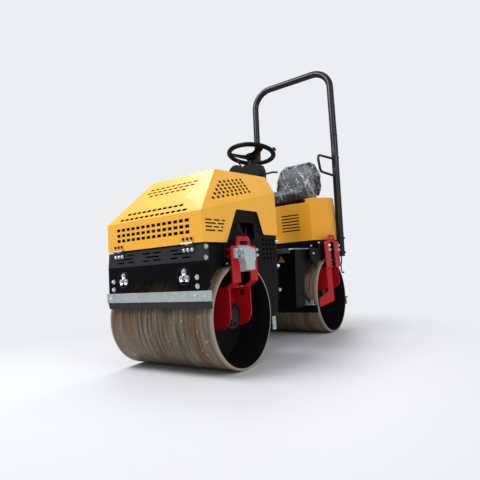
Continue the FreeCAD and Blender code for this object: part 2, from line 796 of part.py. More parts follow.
def make_support(axle_x, setback, half, leg, face, bend_z, lug_z, bolt_face, ring, web_half, web_low,
                 web_corner):
    """Red bracket: lugged outer plate with two legs, folded in over two webs to the motor's mounting plate."""
    x = axle_x - setback
    y0 = face - support_plate
    shoulder_z = lug_z - lug_height
    web_top = bend_z - (face - web_half) * support_fold
    slot_low = lug_z - lift_slot_drop
    gap_half = half - leg
    back_half = half - support_web_inset

    sheet = bent_sheet([(face, lug_z + 1), (face, bend_z), (web_half, web_top),
                        (mount_plate_y, web_top)], support_plate)
    folded = prism(sheet, "yz", x - half, x + half)
    outline = [
        (x - half, web_top - 1), (x - half, shoulder_z), (x - lug_root, shoulder_z), (x - lug_crest, lug_z),
        (x + lug_crest, lug_z), (x + lug_root, shoulder_z), (x + half, shoulder_z), (x + half, web_top - 1),
    ]
    folded = folded.common(rounded_plate(outline, [0, 22.0, 10.0, 14.0, 14.0, 10.0, 22.0, 0],
                                         mount_plate_y - 1, face + 1))
    slot = rounded_plate([(x - lift_slot, slot_low), (x - lift_slot, slot_low + lift_slot_tall),
                          (x + lift_slot, slot_low + lift_slot_tall), (x + lift_slot, slot_low)],
                         [5.0] * 4, y0 - 1, face + 1)
    gap = rounded_plate([(x - gap_half, bend_z), (x - gap_half, slot_low - 12.0),
                         (x + gap_half, slot_low - 12.0), (x + gap_half, bend_z)], [8.0] * 4,
                        y0 - 1, face + 1)
    sides = [box(*sorted((x + side * back_half, x + side * (half + 1))), mount_plate_y - 1, web_half,
                 web_top - 1, web_top + support_plate + 1) for side in (-1, 1)]
    fold_gap = box(x - gap_half, x + gap_half, web_half - 6.0, face + 1, web_top - 1, bend_z + 14.0)
    pieces = [folded.cut([slot, gap, fold_gap] + sides)]

    inner = mount_plate_y + support_plate / 2
    outline = [(inner, web_top + support_plate / 2), (web_half, web_top + support_plate / 2),
               (web_half, web_low), (inner, web_low)]
    for side in (-1, 1):
        outer = x + side * back_half
        span = sorted((outer, outer - side * support_plate))
        wall = cross_plate(outline, [0, 0, web_corner, 0], span[0], span[1])
        if side < 0:
            wall = wall.cut(cylinder(V(span[0] - 1, web_hole_y, web_top - web_hole_drop), X_AXIS,
                                     web_hole, support_plate + 2))
        pieces.append(wall)
    pieces.append(box(x - back_half, x + back_half, mount_plate_y, mount_plate_y + support_plate, web_low,
                      web_top + support_plate))
    pieces.append(cylinder(V(axle_x, mount_plate_y, axle_z), Y_AXIS, ring, support_plate))
    for across in (-half + leg / 2, half - leg / 2):
        for height in (shoulder_z - 52.0, shoulder_z - 18.0):
            pieces.append(cylinder(V(x + across, bolt_face, height), Y_AXIS, 13.0, y0 - bolt_face + 2))
    bore = cylinder(V(axle_x, mount_plate_y - 1, axle_z), Y_AXIS, axle_radius + 2.0, support_plate + 2)
    return fused(pieces).cut(bore)


def make_support_arm(axle_x, setback, half, leg, face, bend_z, lug_z, bolt_face, ring, web_half, web_low,
                     web_corner):
    """Bar down the front web's outer edge, ending in a foot that reaches forward inside the drum's rim."""
    front = half - support_web_inset - setback + axle_x
    rear = front - arm_width
    top = bend_z - 6.0
    low = arm_low_z
    points = [(rear, top), (front, top), (front, low + foot_height + 14.0),
              (rear + foot_length, low + foot_height - 26.0), (rear + foot_length, low - 28.0), (rear, low)]
    arm = rounded_plate(points, [6.0, 0, 46.0, 10.0, 10.0, 22.0], web_half - support_plate, web_half)
    arm.rotate(V(front, web_half, 0), Z_AXIS, -arm_lean)
    return arm


def make_hub(axle_x):
    """Motor flange outside the mounting ring, with the stub shaft that carries the drum."""
    flange = cylinder(V(axle_x, mount_plate_y + support_plate, axle_z), Y_AXIS, motor_radius, motor_length)
    cap = cylinder(V(axle_x, mount_plate_y + support_plate + motor_length, axle_z), Y_AXIS, 38.0, 12.0)
    web_inner = drum_end - web_inset - web_wall
    shaft = cylinder(V(axle_x, web_inner, axle_z), Y_AXIS, axle_radius,
                     mount_plate_y + support_plate - web_inner + 1)
    return fused([flange, cap, shaft])


def make_junction_box():
    """Grey cast box on the front support: screw ears on its wide upper part, sloped top, narrower below."""
    x = front_axle_x + box_ahead
    seat = support_table[0][5]
    top = box_low_edge + cast_box_height
    step = box_low_edge + cast_box_foot
    wide = cast_box_half
    slim = cast_box_half - 12.0
    face = [
        (x - slim, box_low_edge), (x - slim, step), (x - wide, step + 14.0), (x - wide, top), (x + wide, top),
        (x + wide, step + 14.0), (x + slim, step), (x + slim, box_low_edge),
    ]
    body = prism(face, "xz", seat, seat + cast_box_depth)
    slopes = prism([(seat, box_low_edge), (seat + cast_box_depth, box_low_edge + 8.0),
                    (seat + cast_box_depth, top - 22.0), (seat, top)], "yz", x - wide, x + wide)
    ears = []
    for side in (-1, 1):
        ear = sorted((x + side * (wide - 2.0), x + side * (wide + 40.0)))
        ears.append(rounded_plate([(ear[0], step + 22.0), (ear[0], top - 14.0), (ear[1], top - 14.0),
                                   (ear[1], step + 22.0)], [9.0] * 4, seat, seat + 14.0))
    return fused([body.common(slopes)] + ears)


# Scrapers

def make_front_scraper():
    """Galvanised angle bar bolted to the bumper's lower edge, in front of the drum."""
    x0 = bumper_face_x + seat_gap
    top = scraper_bar_top_z
    low = top - scraper_bar_height
    right = scraper_offset - scraper_bar_half
    left = scraper_offset + scraper_bar_half
    bar = box(x0, x0 + scraper_bar_wall, right, left, low, top)
    lip = box(x0 - 16.0, x0, right, left, low, low + 5.0)
    return fused([bar, lip])


def make_front_blade():
    """Scraper strip under the angle bar, slanting back towards the drum."""
    top = scraper_bar_top_z - scraper_bar_height
    x1 = bumper_face_x + seat_gap + scraper_bar_wall - 1.0
    outline = [(x1, top), (x1 - blade_wall, top), (x1 - blade_wall - 8.0, top - blade_drop),
               (x1 - 8.0, top - blade_drop)]
    return prism(outline, "xz", scraper_offset - drum_end, scraper_offset + drum_end)


def beam_face(axle_x, side):
    """X of the scraper beam's face towards the drum."""
    rise = axle_z - beam_low_z - beam_height
    return axle_x + side * (math.sqrt(drum_radius ** 2 - rise ** 2) + beam_drum_gap)


def make_beam(axle_x, side):
    """Angle beam close to the drum, side +1 ahead of it and -1 behind it."""
    face = beam_face(axle_x, side)
    top = beam_low_z + beam_height
    wall = box(min(face, face + side * beam_wall), max(face, face + side * beam_wall), -drum_end, drum_end,
               beam_low_z, top)
    flange = box(min(face, face + side * beam_flange), max(face, face + side * beam_flange), -drum_end,
                 drum_end, top - beam_wall, top)
    return fused([wall, flange])


def make_front_drum_beam():
    """Beam behind the front drum, hung from the side plates by two short straps."""
    face = beam_face(front_axle_x, -1)
    top = beam_low_z + beam_height
    strap = box(face - beam_flange + 4.0, face - 6.0, side_plate_half, side_plate_half + strap_wall,
                top - beam_wall, top + 66.0)
    return fused([make_beam(front_axle_x, -1), strap, to_right(strap)])


def make_rear_drum_beams():
    """Beam ahead of the rear drum, strapped to the box sides, and the one behind it, to the tail plate."""
    face = beam_face(rear_axle_x, 1)
    top = beam_low_z + beam_height
    reach = rear_axle_x + guard_radius
    strap = prism([(face + 2.0, top - beam_wall), (face + beam_flange - 2.0, top - beam_wall),
                   (reach + 34.0, top + 84.0), (reach + 10.0, top + 108.0)], "xz",
                  box_half, box_half + strap_wall)
    ahead = fused([make_beam(rear_axle_x, 1), strap, to_right(strap)])
    tail_face = body_rear_x - tail_plate
    hanger = box(tail_face - strap_wall, tail_face, 270.0, 320.0, top - beam_wall, tail_low_z + 60.0)
    behind = fused([make_beam(rear_axle_x, -1), hanger, to_right(hanger)])
    return Part.makeCompound([ahead, behind])


# Rear frame

def arc_outline_plate(points, radii, y0, y1, centre_x, radius):
    plate = rounded_plate(points, radii, y0, y1)
    return plate.cut(cylinder(V(centre_x, y0 - 1, axle_z), Y_AXIS, radius, y1 - y0 + 2))


def make_box_side():
    rear = rear_axle_x + guard_radius
    points = [
        (box_front_top_x, platform_z),
        (box_front_low_x, 300.0),
        (box_front_low_x, box_low_z),
        (rear + 20.0, box_low_z),
        (rear_axle_x + 200.0, axle_z),
        (rear_axle_x + 200.0, platform_z),
    ]
    return arc_outline_plate(points, [0] * 6, box_half - thin_plate, box_half, rear_axle_x, guard_radius)


def make_rear_box():
    """Front wall, floor and curved guard between the two box sides."""
    half = box_half - thin_plate
    wall = box(box_wall_x, box_wall_x + thin_plate, -half, half, box_low_z, platform_z)
    window = box(box_wall_x - 1, box_wall_x + thin_plate + 1, cylinder_rear_pin[1] - 50.0,
                 cylinder_rear_pin[1] + 75.0, cylinder_z - 40.0, cylinder_z + 40.0)
    outer = cylinder(V(rear_axle_x, -half, axle_z), Y_AXIS, guard_radius, half * 2)
    inner = cylinder(V(rear_axle_x, -half, axle_z), Y_AXIS, guard_radius - thin_plate, half * 2)
    keep = box(rear_axle_x, rear_axle_x + guard_radius + 1, -half, half, box_low_z, platform_z)
    guard = outer.cut(inner).common(keep)
    low_reach = math.sqrt(guard_radius ** 2 - (axle_z - box_low_z) ** 2)
    floor = box(rear_axle_x + low_reach - 3.0, box_wall_x + 1, -half, half, box_low_z, box_low_z + thin_plate)
    return fused([wall.cut(window), guard, floor, make_rear_lug()])


def make_upper_plate():
    points = [
        (upper_plate_front_x, platform_z + platform_plate),
        (upper_plate_front_x, upper_plate_low_z),
        (rear_axle_x, axle_z),
        (upper_plate_rear_x, upper_plate_low_z - 60.0),
        (upper_plate_rear_x, body_low_z - 6.0),
        (body_front_x + 20.0, body_low_z - 6.0),
        (body_front_x + 60.0, platform_z + platform_plate),
    ]
    radii = [0, 18.0, 0, 0, 0, 0, 0]
    return arc_outline_plate(points, radii, upper_plate_half - thin_plate, upper_plate_half, rear_axle_x,
                             upper_arch_radius)


def make_platform():
    """Chequered floor, widening over the drum, with its front edge folded down."""
    half = upper_plate_half - thin_plate
    left = [
        (platform_front_x, platform_half - 20.0), (platform_front_x - 20.0, platform_half),
        (upper_plate_front_x, platform_half), (upper_plate_front_x, half), (upper_plate_rear_x, half),
        (body_rear_x, body_tail_half - 6.0),
    ]
    outline = left + [(x, -y) for x, y in reversed(left)]
    sheet = prism(outline, "xy", platform_z, platform_z + platform_plate)
    lip = box(platform_front_x - 5.0, platform_front_x, -platform_half + 20.0, platform_half - 20.0,
              platform_z - 24.0, platform_z)
    return fused([sheet, lip])


def make_body_base():
    """Black plinth below the yellow body."""
    half = upper_plate_half - thin_plate
    left = [
        (body_front_x - plinth_inset, body_front_half - plinth_inset), (body_corner_x, half),
        (upper_plate_rear_x, half), (body_rear_x, body_tail_half - 6.0),
    ]
    outline = left + [(x, -y) for x, y in reversed(left)]
    return prism(outline, "xy", platform_z + platform_plate, body_low_z)


def make_body_centre():
    """Yellow centre of the rear body, with two stacks of six louvre slots in its front face."""
    front = box(body_front_x - 50.0, body_front_x, -body_front_half, body_front_half, body_low_z, body_centre_z)
    middle = box(body_rear_x, body_front_x - 50.0, -pod_inner_half, pod_inner_half, body_low_z, body_centre_z)
    slots = []
    for row in range(6):
        base = body_low_z + 85.0 + row * 24.5
        for side in (-1, 1):
            y0, y1 = sorted((side * 38.0, side * 198.0))
            slots.append(box(body_front_x - 5.0, body_front_x + 1, y0, y1, base, base + 10.0))
    return fused([front, middle]).cut(slots)


def make_body_pod():
    """Left wing of the rear body: chamfered front, taller than the centre, top rising to the rear."""
    outline = [
        (body_front_x, body_front_half), (body_corner_x, upper_plate_half),
        (body_heel_x, upper_plate_half), (body_rear_x, body_tail_half), (body_rear_x, pod_inner_half),
        (body_front_x - 50.0, pod_inner_half), (body_front_x - 50.0, body_front_half),
    ]
    block = prism(outline, "xy", body_low_z, pod_rear_z)
    above = prism([(body_front_x + 1, pod_front_z), (body_rear_x - 1, pod_rear_z), (body_rear_x - 1, pod_rear_z + 50),
                   (body_front_x + 1, pod_rear_z + 50)], "xz", 0, upper_plate_half + 1)
    return block.cut(above)


def make_tail():
    """Rear wall with its towing eye."""
    x1 = body_rear_x
    x0 = x1 - tail_plate
    wall = prism([(-body_tail_half + 60.0, tail_low_z), (body_tail_half - 60.0, tail_low_z),
                  (body_tail_half, tail_low_z + 90.0), (body_tail_half, body_centre_z),
                  (-body_tail_half, body_centre_z), (-body_tail_half, tail_low_z + 90.0)], "yz", x0, x1)
    eye = prism([(-60.0, -40.0), (-60.0, 40.0), (0.0, 40.0), (0.0, -40.0)], "xy", 540.0, 540.0 + tow_eye_plate)
    eye = fused([eye, cylinder(V(-60.0, 0, 540.0), Z_AXIS, 40.0, tow_eye_plate)])
    eye = eye.cut(cylinder(V(-60.0, 0, 539.0), Z_AXIS, tow_eye_bore, tow_eye_plate + 2))
    eye.translate(V(x0, 0, 0))
    return fused([wall, eye])


def hoop_point(z):
    """X of the hoop's post at height z, on its straight lower run."""
    share = (z - hoop_foot[1]) / (hoop_knee[1] - hoop_foot[1])
    return hoop_foot[0] + (hoop_knee[0] - hoop_foot[0]) * share


def make_hoop():
    """Leaning hoop of round tube, with a grab handle welded to the front of each post."""
    left = [V(hoop_foot[0], hoop_half, hoop_foot[1]), V(hoop_knee[0], hoop_half, hoop_knee[1]),
            V(hoop_top[0], hoop_half, hoop_top[1])]
    points = left + [right_of(point) for point in reversed(left)]
    hoop = pipe_along(points, [knee_bend, hoop_bend, hoop_bend, knee_bend], hoop_tube)
    handle = make_handle()
    return fused([hoop, handle, to_right(handle)])


def make_hoop_foot():
    """Block under the platform that holds the post's foot."""
    x0 = hoop_foot[0] - 36.0
    outer = hoop_half - hoop_tube - seat_gap
    return box(x0, x0 + 64.0, outer - clamp_width, outer, hoop_foot[1], platform_z)


def make_handle():
    """Grab handle: a loop of thin tube in front of the post."""
    root_high = V(hoop_point(handle_root_high_z) + hoop_tube / 2, hoop_half, handle_root_high_z)
    root_low = V(hoop_point(handle_root_low_z) + hoop_tube / 2, hoop_half, handle_root_low_z)
    points = [root_high, V(handle_reach_top[0], hoop_half, handle_reach_top[1]),
              V(handle_reach_low[0], hoop_half, handle_reach_low[1]), root_low]
    loop = pipe_along(points, [handle_bend, handle_bend], handle_tube)
    return loop


# Operator's cushion and backrest

def make_rails():
    base = body_centre_z
    top = base + rail_height
    rails = [box(cushion_rear_x + 60.0, cushion_front_x - 40.0, y - 20.0, y + 20.0, base, top)
             for y in (-140.0, 140.0)]
    tray = box(cushion_rear_x + 6.0, cushion_front_x - 20.0, -180.0, 180.0, top - 6.0, top)
    bracket = prism([(cushion_rear_x + 6.0, top - 6.0), (cushion_rear_x + 6.0, top),
                     (cushion_rear_x - 64.0, top), (cushion_rear_x - 82.0, top + 150.0),
                     (cushion_rear_x - 88.0, top + 150.0), (cushion_rear_x - 70.0, top - 6.0)],
                    "xz", -100.0, 100.0)
    return fused(rails + [tray, bracket])


def make_cushion():
    base = body_centre_z + rail_height + seat_gap
    top = base + cushion_height
    side = [(cushion_rear_x, base), (cushion_front_x - 8.0, base), (cushion_front_x, base + 20.0),
            (cushion_front_x, top - 30.0), (cushion_front_x - 30.0, top), (cushion_rear_x, top - 18.0)]
    return prism(side, "xz", -cushion_half, cushion_half)


def make_backrest():
    """Leaning pad, widest at the elbows and narrow at the top."""
    base = body_centre_z + rail_height + seat_gap
    wires = []
    for rise, front, rear, half in backrest_sections:
        x0 = cushion_rear_x - seat_gap + front
        x1 = cushion_rear_x - seat_gap + rear
        corners = [V(x0, -half, base + rise), V(x0, half, base + rise), V(x1, half, base + rise),
                   V(x1, -half, base + rise)]
        wires.append(Part.makePolygon(corners + corners[:1]))
    return Part.makeLoft(wires, True, True)


# Console, column and steering wheel

def console_profile():
    """Dash outline seen from the front, right to left: two round humps, then the column's casing."""
    hump_one = -console_half + pod_radius + 10.0
    hump_two = hump_one + pod_radius * 1.6
    return hump_one, hump_two


def make_console():
    """Dash box with two round instrument pods, the column's casing and shaft, and the two levers."""
    rear = console_front_x - console_depth
    hump_one, hump_two = console_profile()
    base = prism([(-console_half, console_low_z), (console_left, console_low_z),
                  (console_left, console_edge_z + 22.0), (console_left - 16.0, console_casing_z),
                  (hump_two + 20.0, console_casing_z),
                  (hump_two, console_edge_z + 10.0), (-console_half, console_edge_z + 10.0)],
                 "yz", rear, console_front_x)
    pods = [cylinder(V(rear - 12.0, y, console_edge_z + lift), X_AXIS, pod_radius, console_depth + 6.0)
            for y, lift in ((hump_one, 22.0), (hump_two, 8.0))]
    return fused([base, make_column()] + pods + make_levers())


def make_pedestal():
    rear = console_front_x - console_depth
    outline = [(console_front_x, platform_z + platform_plate), (console_front_x, console_low_z),
               (rear - 20.0, console_low_z), (rear + 20.0, platform_z + platform_plate)]
    return prism(outline, "xz", -pedestal_half, pedestal_half)


wheel_axis = V(-math.sin(math.radians(wheel_tilt)), 0, math.cos(math.radians(wheel_tilt)))


def make_column():
    """Tapered casing and bare shaft up to the wheel's hub."""
    top = wheel_centre - wheel_axis * (wheel_hub_drop + 16.0)
    length = (top.z - console_casing_z + 30.0) / wheel_axis.z
    casing = cylinder(top - wheel_axis * length, wheel_axis, column_radius, length)
    shaft = cylinder(top - wheel_axis, wheel_axis, 11.0, 20.0)
    return fused([casing, shaft])


def make_wheel():
    """Rim, three broad spokes dished down to the hub, and a spinner knob."""
    across = V(wheel_axis.z, 0, -wheel_axis.x)
    rim = Part.makeTorus(wheel_radius - wheel_rim, wheel_rim, wheel_centre, wheel_axis)
    hub_base = wheel_centre - wheel_axis * (wheel_hub_drop + 15.0)
    hub = Part.makeCone(34.0, 46.0, 30.0, hub_base, wheel_axis)
    pieces = [rim, hub]
    hub_top = wheel_centre - wheel_axis * (wheel_hub_drop - 6.0)
    for angle in (60.0, 180.0, 300.0):
        turn = math.radians(angle)
        out = across * math.cos(turn) + Y_AXIS * math.sin(turn)
        side = wheel_axis.cross(out)
        start = hub_top + out * 30.0
        end = wheel_centre + out * (wheel_radius - wheel_rim - 4.0)
        along = (end - start).normalize()
        pieces.append(oriented_box((start + end) * 0.5, along, side, (end - start).Length, 40.0, 9.0))
    wheel = fused(pieces + make_knob())
    return wheel.cut(cylinder(hub_base - wheel_axis, wheel_axis, 11.0 + bearing_gap, 22.0))


def make_knob():
    """Spinner knob on the rim, near its rear left."""
    across = V(wheel_axis.z, 0, -wheel_axis.x)
    turn = math.radians(118.0)
    spot = wheel_centre + (across * math.cos(turn) + Y_AXIS * math.sin(turn)) * (wheel_radius - wheel_rim)
    stem = cylinder(spot + wheel_axis * (wheel_rim - 1.0), wheel_axis, 6.0, 16.0)
    ball = Part.makeSphere(19.0, spot + wheel_axis * (wheel_rim + 24.0))
    return [stem, ball]


def make_levers():
    """Travel lever out of the console's left end, and the slim switch lever on its right."""
    mid_x = console_front_x - console_depth / 2
    travel = pipe_along([V(mid_x, console_left - 1.0, 1208.0), V(mid_x - 6.0, console_left + 84.0, 1214.0),
                         V(mid_x - 20.0, console_left + 120.0, 1208.0)], [40.0], 7.0)
    slim_foot = V(console_front_x - 24.0, -44.0, 1262.0)
    slim = pipe_along([slim_foot, V(console_front_x - 34.0, -66.0, 1310.0),
                       V(console_front_x - 44.0, -100.0, 1352.0)], [60.0], 6.0)
    return [travel, slim]


# Steering cylinder

cylinder_run = V(cylinder_rear_pin[0] - cylinder_front_pin[0], cylinder_rear_pin[1] - cylinder_front_pin[1], 0)
cylinder_rest = cylinder_run.Length
cylinder_way = V(cylinder_run.x, cylinder_run.y, 0).normalize()


def make_barrel():
    pin = V(cylinder_front_pin[0], cylinder_front_pin[1], cylinder_z)
    eye = cylinder(pin - Z_AXIS * (eye_height / 2), Z_AXIS, eye_radius, eye_height)
    neck = cylinder(pin, cylinder_way, eye_height / 2 - 1.0, barrel_back + 1.0)
    hole = cylinder(pin - Z_AXIS * eye_height, Z_AXIS, eye_pin + bearing_gap, eye_height * 2)
    body = cylinder(pin + cylinder_way * barrel_back, cylinder_way, barrel_radius, barrel_front - barrel_back)
    bore = cylinder(pin + cylinder_way * (barrel_back + 12.0), cylinder_way, rod_radius + bearing_gap,
                    barrel_front)
    return fused([eye, neck, body]).cut([hole, bore])


def make_rod():
    pin = V(cylinder_rear_pin[0], cylinder_rear_pin[1], cylinder_z)
    eye = cylinder(pin - Z_AXIS * (rod_eye_height / 2), Z_AXIS, eye_radius, rod_eye_height)
    rod = cylinder(pin - cylinder_way * rod_length, cylinder_way, rod_radius, rod_length)
    return fused([eye, rod])


def make_front_lug():
    """Clevis on the bulkhead with the pin that the barrel's eye turns on."""
    x, y = cylinder_front_pin
    plates = []
    for base in (cylinder_z - eye_height / 2 - 1.0 - lug_plate, cylinder_z + eye_height / 2 + 1.0):
        plates.append(box(x, bulkhead_x, y - lug_half, y + lug_half, base, base + lug_plate))
        plates.append(cylinder(V(x, y, base), Z_AXIS, lug_half, lug_plate))
    pin = cylinder(V(x, y, cylinder_z - eye_height / 2 - lug_plate - 4.0), Z_AXIS, eye_pin,
                   eye_height + 2 * lug_plate + 8.0)
    return fused(plates + [pin])


def make_rear_lug():
    """Shelf of the rear box that the rod's eye rests above."""
    x, y = cylinder_rear_pin
    base = cylinder_z - rod_eye_height / 2 - seat_gap - lug_plate
    shelf = box(x - 24.0, x + 24.0, y - 40.0, y + 40.0, base, base + lug_plate)
    post = box(x - 18.0, x + 18.0, y - 34.0, y + 34.0, box_low_z + thin_plate, base)
    return fused([shelf, post])


def make_parts():
    """Node name to solid; a pair is one node of two solids that don't touch."""
    parts = make_hood()
    parts["hood_hinge_leaves"], parts["bumper_hinge_leaves"] = make_hood_hinges()
    parts["front_bumper"] = make_bumper()
    parts["headlamps"] = pair(make_lamp(1))
    parts["front_side_plates"] = pair(make_side_plate())
    parts["engine_deck"] = make_deck()
    parts["engine_block"] = make_engine()
    parts["front_bulkhead"] = make_bulkhead()
    parts["hitch_yoke"] = make_yoke()
    parts["hitch_trunnion"] = make_trunnion()
    for row in support_table:
        name, axle_x = row[:2]
        parts[name + "_drum"] = make_drum(axle_x)
        left = make_support(*row[1:])
        if name == "rear":
            left = fused([left, make_support_arm(*row[1:])])
        parts[name + "_drum_support_left"] = left
        parts[name + "_drum_support_right"] = to_right(left)
        parts[name + "_drum_hubs"] = pair(make_hub(axle_x))
    parts["junction_boxes"] = pair(make_junction_box())
    parts["front_scraper_bar"] = make_front_scraper()
    parts["front_scraper_blade"] = make_front_blade()
    parts["front_drum_beam"] = make_front_drum_beam()
    parts["rear_drum_beams"] = make_rear_drum_beams()
    parts["rear_box_sides"] = pair(make_box_side())
    parts["rear_box"] = make_rear_box()
    parts["rear_upper_plates"] = pair(make_upper_plate())
    parts["platform"] = make_platform()
    parts["rear_body_base"] = make_body_base()
    parts["rear_body_centre"] = make_body_centre()
    parts["rear_body_wings"] = pair(make_body_pod())
    parts["tail_plate"] = make_tail()
    parts["rollover_hoop"] = make_hoop()
    parts["hoop_clamps"] = pair(make_hoop_foot())
    parts["cushion_rails"] = make_rails()
    parts["cushion_pad"] = make_cushion()
    parts["backrest_pad"] = make_backrest()
    parts["console"] = make_console()
    parts["console_pedestal"] = make_pedestal()
    parts["steering_wheel"] = make_wheel()
    parts["cylinder_barrel"] = make_barrel()
    parts["cylinder_rod"] = make_rod()
    return parts


# The origin is on the ground below the middle of the whole machine's length
front_reach = bumper_face_x + seat_gap + scraper_bar_wall
rear_reach = hoop_top[0] - hoop_tube
origin_shift = V(-(front_reach + rear_reach) / 2, 0, 0)


def main():
    os.makedirs("parts", exist_ok=True)
    for node, shape in make_parts().items():
        shape.translate(origin_shift)
        shape.exportStep("parts/" + node + ".step")
        state = "" if shape.isValid() else " not valid"
        print(node, len(shape.Solids), "solid", round(shape.Volume / 1000), "cm3" + state)


main()
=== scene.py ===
# %% [markdown]
# # A ride-on tandem road roller
# The CAD model arrives as a fixed frame of named nodes, each riding on a body that may move. This lesson
# gives every node a real finish, then adds the small things the CAD leaves out: bolts, lamps, tread,
# the wrapped cushion and the worn rolled steel of the drums. Blender never changes the machine's size,
# so the box of the CAD is measured first.

# %% Load the frame
import math

import bmesh
import bpy
import numpy as np
from mathutils import Matrix, Vector, noise


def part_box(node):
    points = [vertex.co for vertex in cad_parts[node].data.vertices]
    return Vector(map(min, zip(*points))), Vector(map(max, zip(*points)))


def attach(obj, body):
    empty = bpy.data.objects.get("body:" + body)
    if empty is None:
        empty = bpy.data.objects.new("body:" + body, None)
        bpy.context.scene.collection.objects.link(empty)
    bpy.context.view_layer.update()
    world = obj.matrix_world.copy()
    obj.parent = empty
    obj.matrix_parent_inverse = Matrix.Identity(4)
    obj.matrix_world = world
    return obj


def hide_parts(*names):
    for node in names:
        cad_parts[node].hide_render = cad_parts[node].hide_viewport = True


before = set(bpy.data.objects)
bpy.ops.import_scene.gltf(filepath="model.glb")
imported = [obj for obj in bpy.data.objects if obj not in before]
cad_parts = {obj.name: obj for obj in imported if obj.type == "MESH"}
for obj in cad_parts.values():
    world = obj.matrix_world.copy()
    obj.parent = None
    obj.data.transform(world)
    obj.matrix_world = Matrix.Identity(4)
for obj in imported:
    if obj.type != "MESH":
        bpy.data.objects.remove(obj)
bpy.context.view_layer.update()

# %% [markdown]
# Places on the machine are easiest to read in millimetres from the point midway between the two axles,
# which is how the maker's drawing would give them. One function turns such a place into scene metres, and
# another reads off where a node ends, so that what is added seats on it.

# %% Places in millimetres
MM = 0.001
LOW, HIGH = 0, 1
X, Y, Z = 0, 1, 2


def middle(node):
    low, high = (Vector(corner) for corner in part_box(node))
    return (low + high) / 2


front_axle = middle("front_drum")
rear_axle = middle("rear_drum")
axle_mid_x = (front_axle.x + rear_axle.x) / 2


def at(x, y, z):
    return Vector((x * MM + axle_mid_x, y * MM, z * MM))


def reach(node, end, axis):
    """Where a node ends along an axis, in millimetres from the mid point."""
    return (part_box(node)[end][axis] - (axle_mid_x if axis == X else 0)) / MM


def shown(name, data):
    """Puts a mesh, curve, lens or lamp in the scene."""
    item = bpy.data.objects.new(name, data)
    bpy.context.scene.collection.objects.link(item)
    return item


print("axles", round(front_axle.x, 4), round(rear_axle.x, 4))

# %% [markdown]
# ## Camera
# The photograph was taken low, at drum height, from ahead of the machine's left corner, with a moderately
# wide lens. The place, turn and focal length were found by fitting known corners of the machine. The
# picture was cropped a little off centre, which the lens shift repeats.

# %% Camera
PHOTO = 480
lens_row = 213.5
focal_pixels = 419.63
yaw, pitch, roll = (math.radians(angle) for angle in (34.08, 7.31, -4.05))
ahead = Vector((-math.cos(yaw) * math.cos(pitch), -math.sin(yaw) * math.cos(pitch), math.sin(pitch)))
level_right = Vector((-math.sin(yaw), math.cos(yaw), 0))
level_up = level_right.cross(ahead)
right = math.cos(roll) * level_right + math.sin(roll) * level_up
up = -math.sin(roll) * level_right + math.cos(roll) * level_up

lens = bpy.data.cameras.new("photo_lens")
lens.sensor_width = 36
lens.lens = focal_pixels * lens.sensor_width / PHOTO
lens.shift_y = -(PHOTO / 2 - lens_row) / PHOTO
lens.clip_end = 60
camera = shown("photo_camera", lens)
camera.matrix_world = (Matrix.Translation(at(2502.2, 1675.7, 535.2))
                       @ Matrix((right, up, -ahead)).transposed().to_4x4())
bpy.context.scene.camera = camera
bpy.context.scene.view_settings.view_transform = "Standard"
print("lens", round(lens.lens, 2), "mm")

# %% [markdown]
# ## Colours and nodes
# Colours are written as a painter would read them off a chart, as sRGB hex. Cycles works in linear light,
# so one function converts them. Shader trees are built by one helper that adds a node, sets it and
# connects it, which keeps each material down to the lines that matter.

# %% Helpers for materials
def srgb(code):
    channels = [int(code[i:i + 2], 16) / 255 for i in (1, 3, 5)]
    return [c / 12.92 if c <= 0.04045 else ((c + 0.055) / 1.055) ** 2.4 for c in channels] + [1.0]


def limits(*ends):
    """Where a range starts and ends, and what these become."""
    return dict(zip(("From Min", "From Max", "To Min", "To Max"), ends))


def feed(node, links):
    """Links sockets, or the first live output of other nodes, to a node's inputs."""
    for key, source in links.items():
        if isinstance(source, bpy.types.Node):
            source = next(socket for socket in source.outputs if socket.enabled)
        node.id_data.links.new(source, node.inputs[key])


def add(tree, kind, links=None, values=None, **settings):
    """Adds a shader node: links feed its inputs, values set them, settings set the node itself.
    A hex code stands for its colour, and a Mix blends colours."""
    node = tree.nodes.new("ShaderNode" + kind)
    if kind == "Mix":
        node.data_type = "RGBA"
    for name, value in settings.items():
        setattr(node, name, value)
    for key, value in (values or {}).items():
        node.inputs[key].default_value = srgb(value) if isinstance(value, str) else value
    feed(node, links or {})
    return node


def surface(name, **sockets):
    """A material with its Principled shader; plain values go straight onto the shader's sockets."""
    material = bpy.data.materials.new(name)
    material.use_nodes = True
    tree = material.node_tree
    shader = tree.nodes["Principled BSDF"]
    for key, value in sockets.items():
        shader.inputs[key.replace("_", " ")].default_value = value
    place = add(tree, "TexCoord").outputs["Object"]
    return material, tree, shader, place


# %% [markdown]
# ## Floor, sky and lamps
# The machine stands in a white studio. A broad lamp above the camera's left lights the sloping tops most,
# a weaker one fills the machine's left side, and the pale world does the rest. The floor fades out with
# distance, so that it runs into the background without a horizon, and it keeps the machine's shadow.

# %% Studio
scene = bpy.context.scene
world = bpy.data.worlds.new("studio_air")
scene.world = world
world.use_nodes = True
sky = world.node_tree
sky.nodes.clear()
seen = add(sky, "Background", values={"Color": "#ECEEF2", "Strength": 1.0})
fill = add(sky, "Background", values={"Color": "#F4F6FA", "Strength": 0.48})
rays = add(sky, "LightPath").outputs["Is Camera Ray"]
pick = add(sky, "MixShader", {0: rays, 1: fill, 2: seen})
add(sky, "OutputWorld", {"Surface": pick})

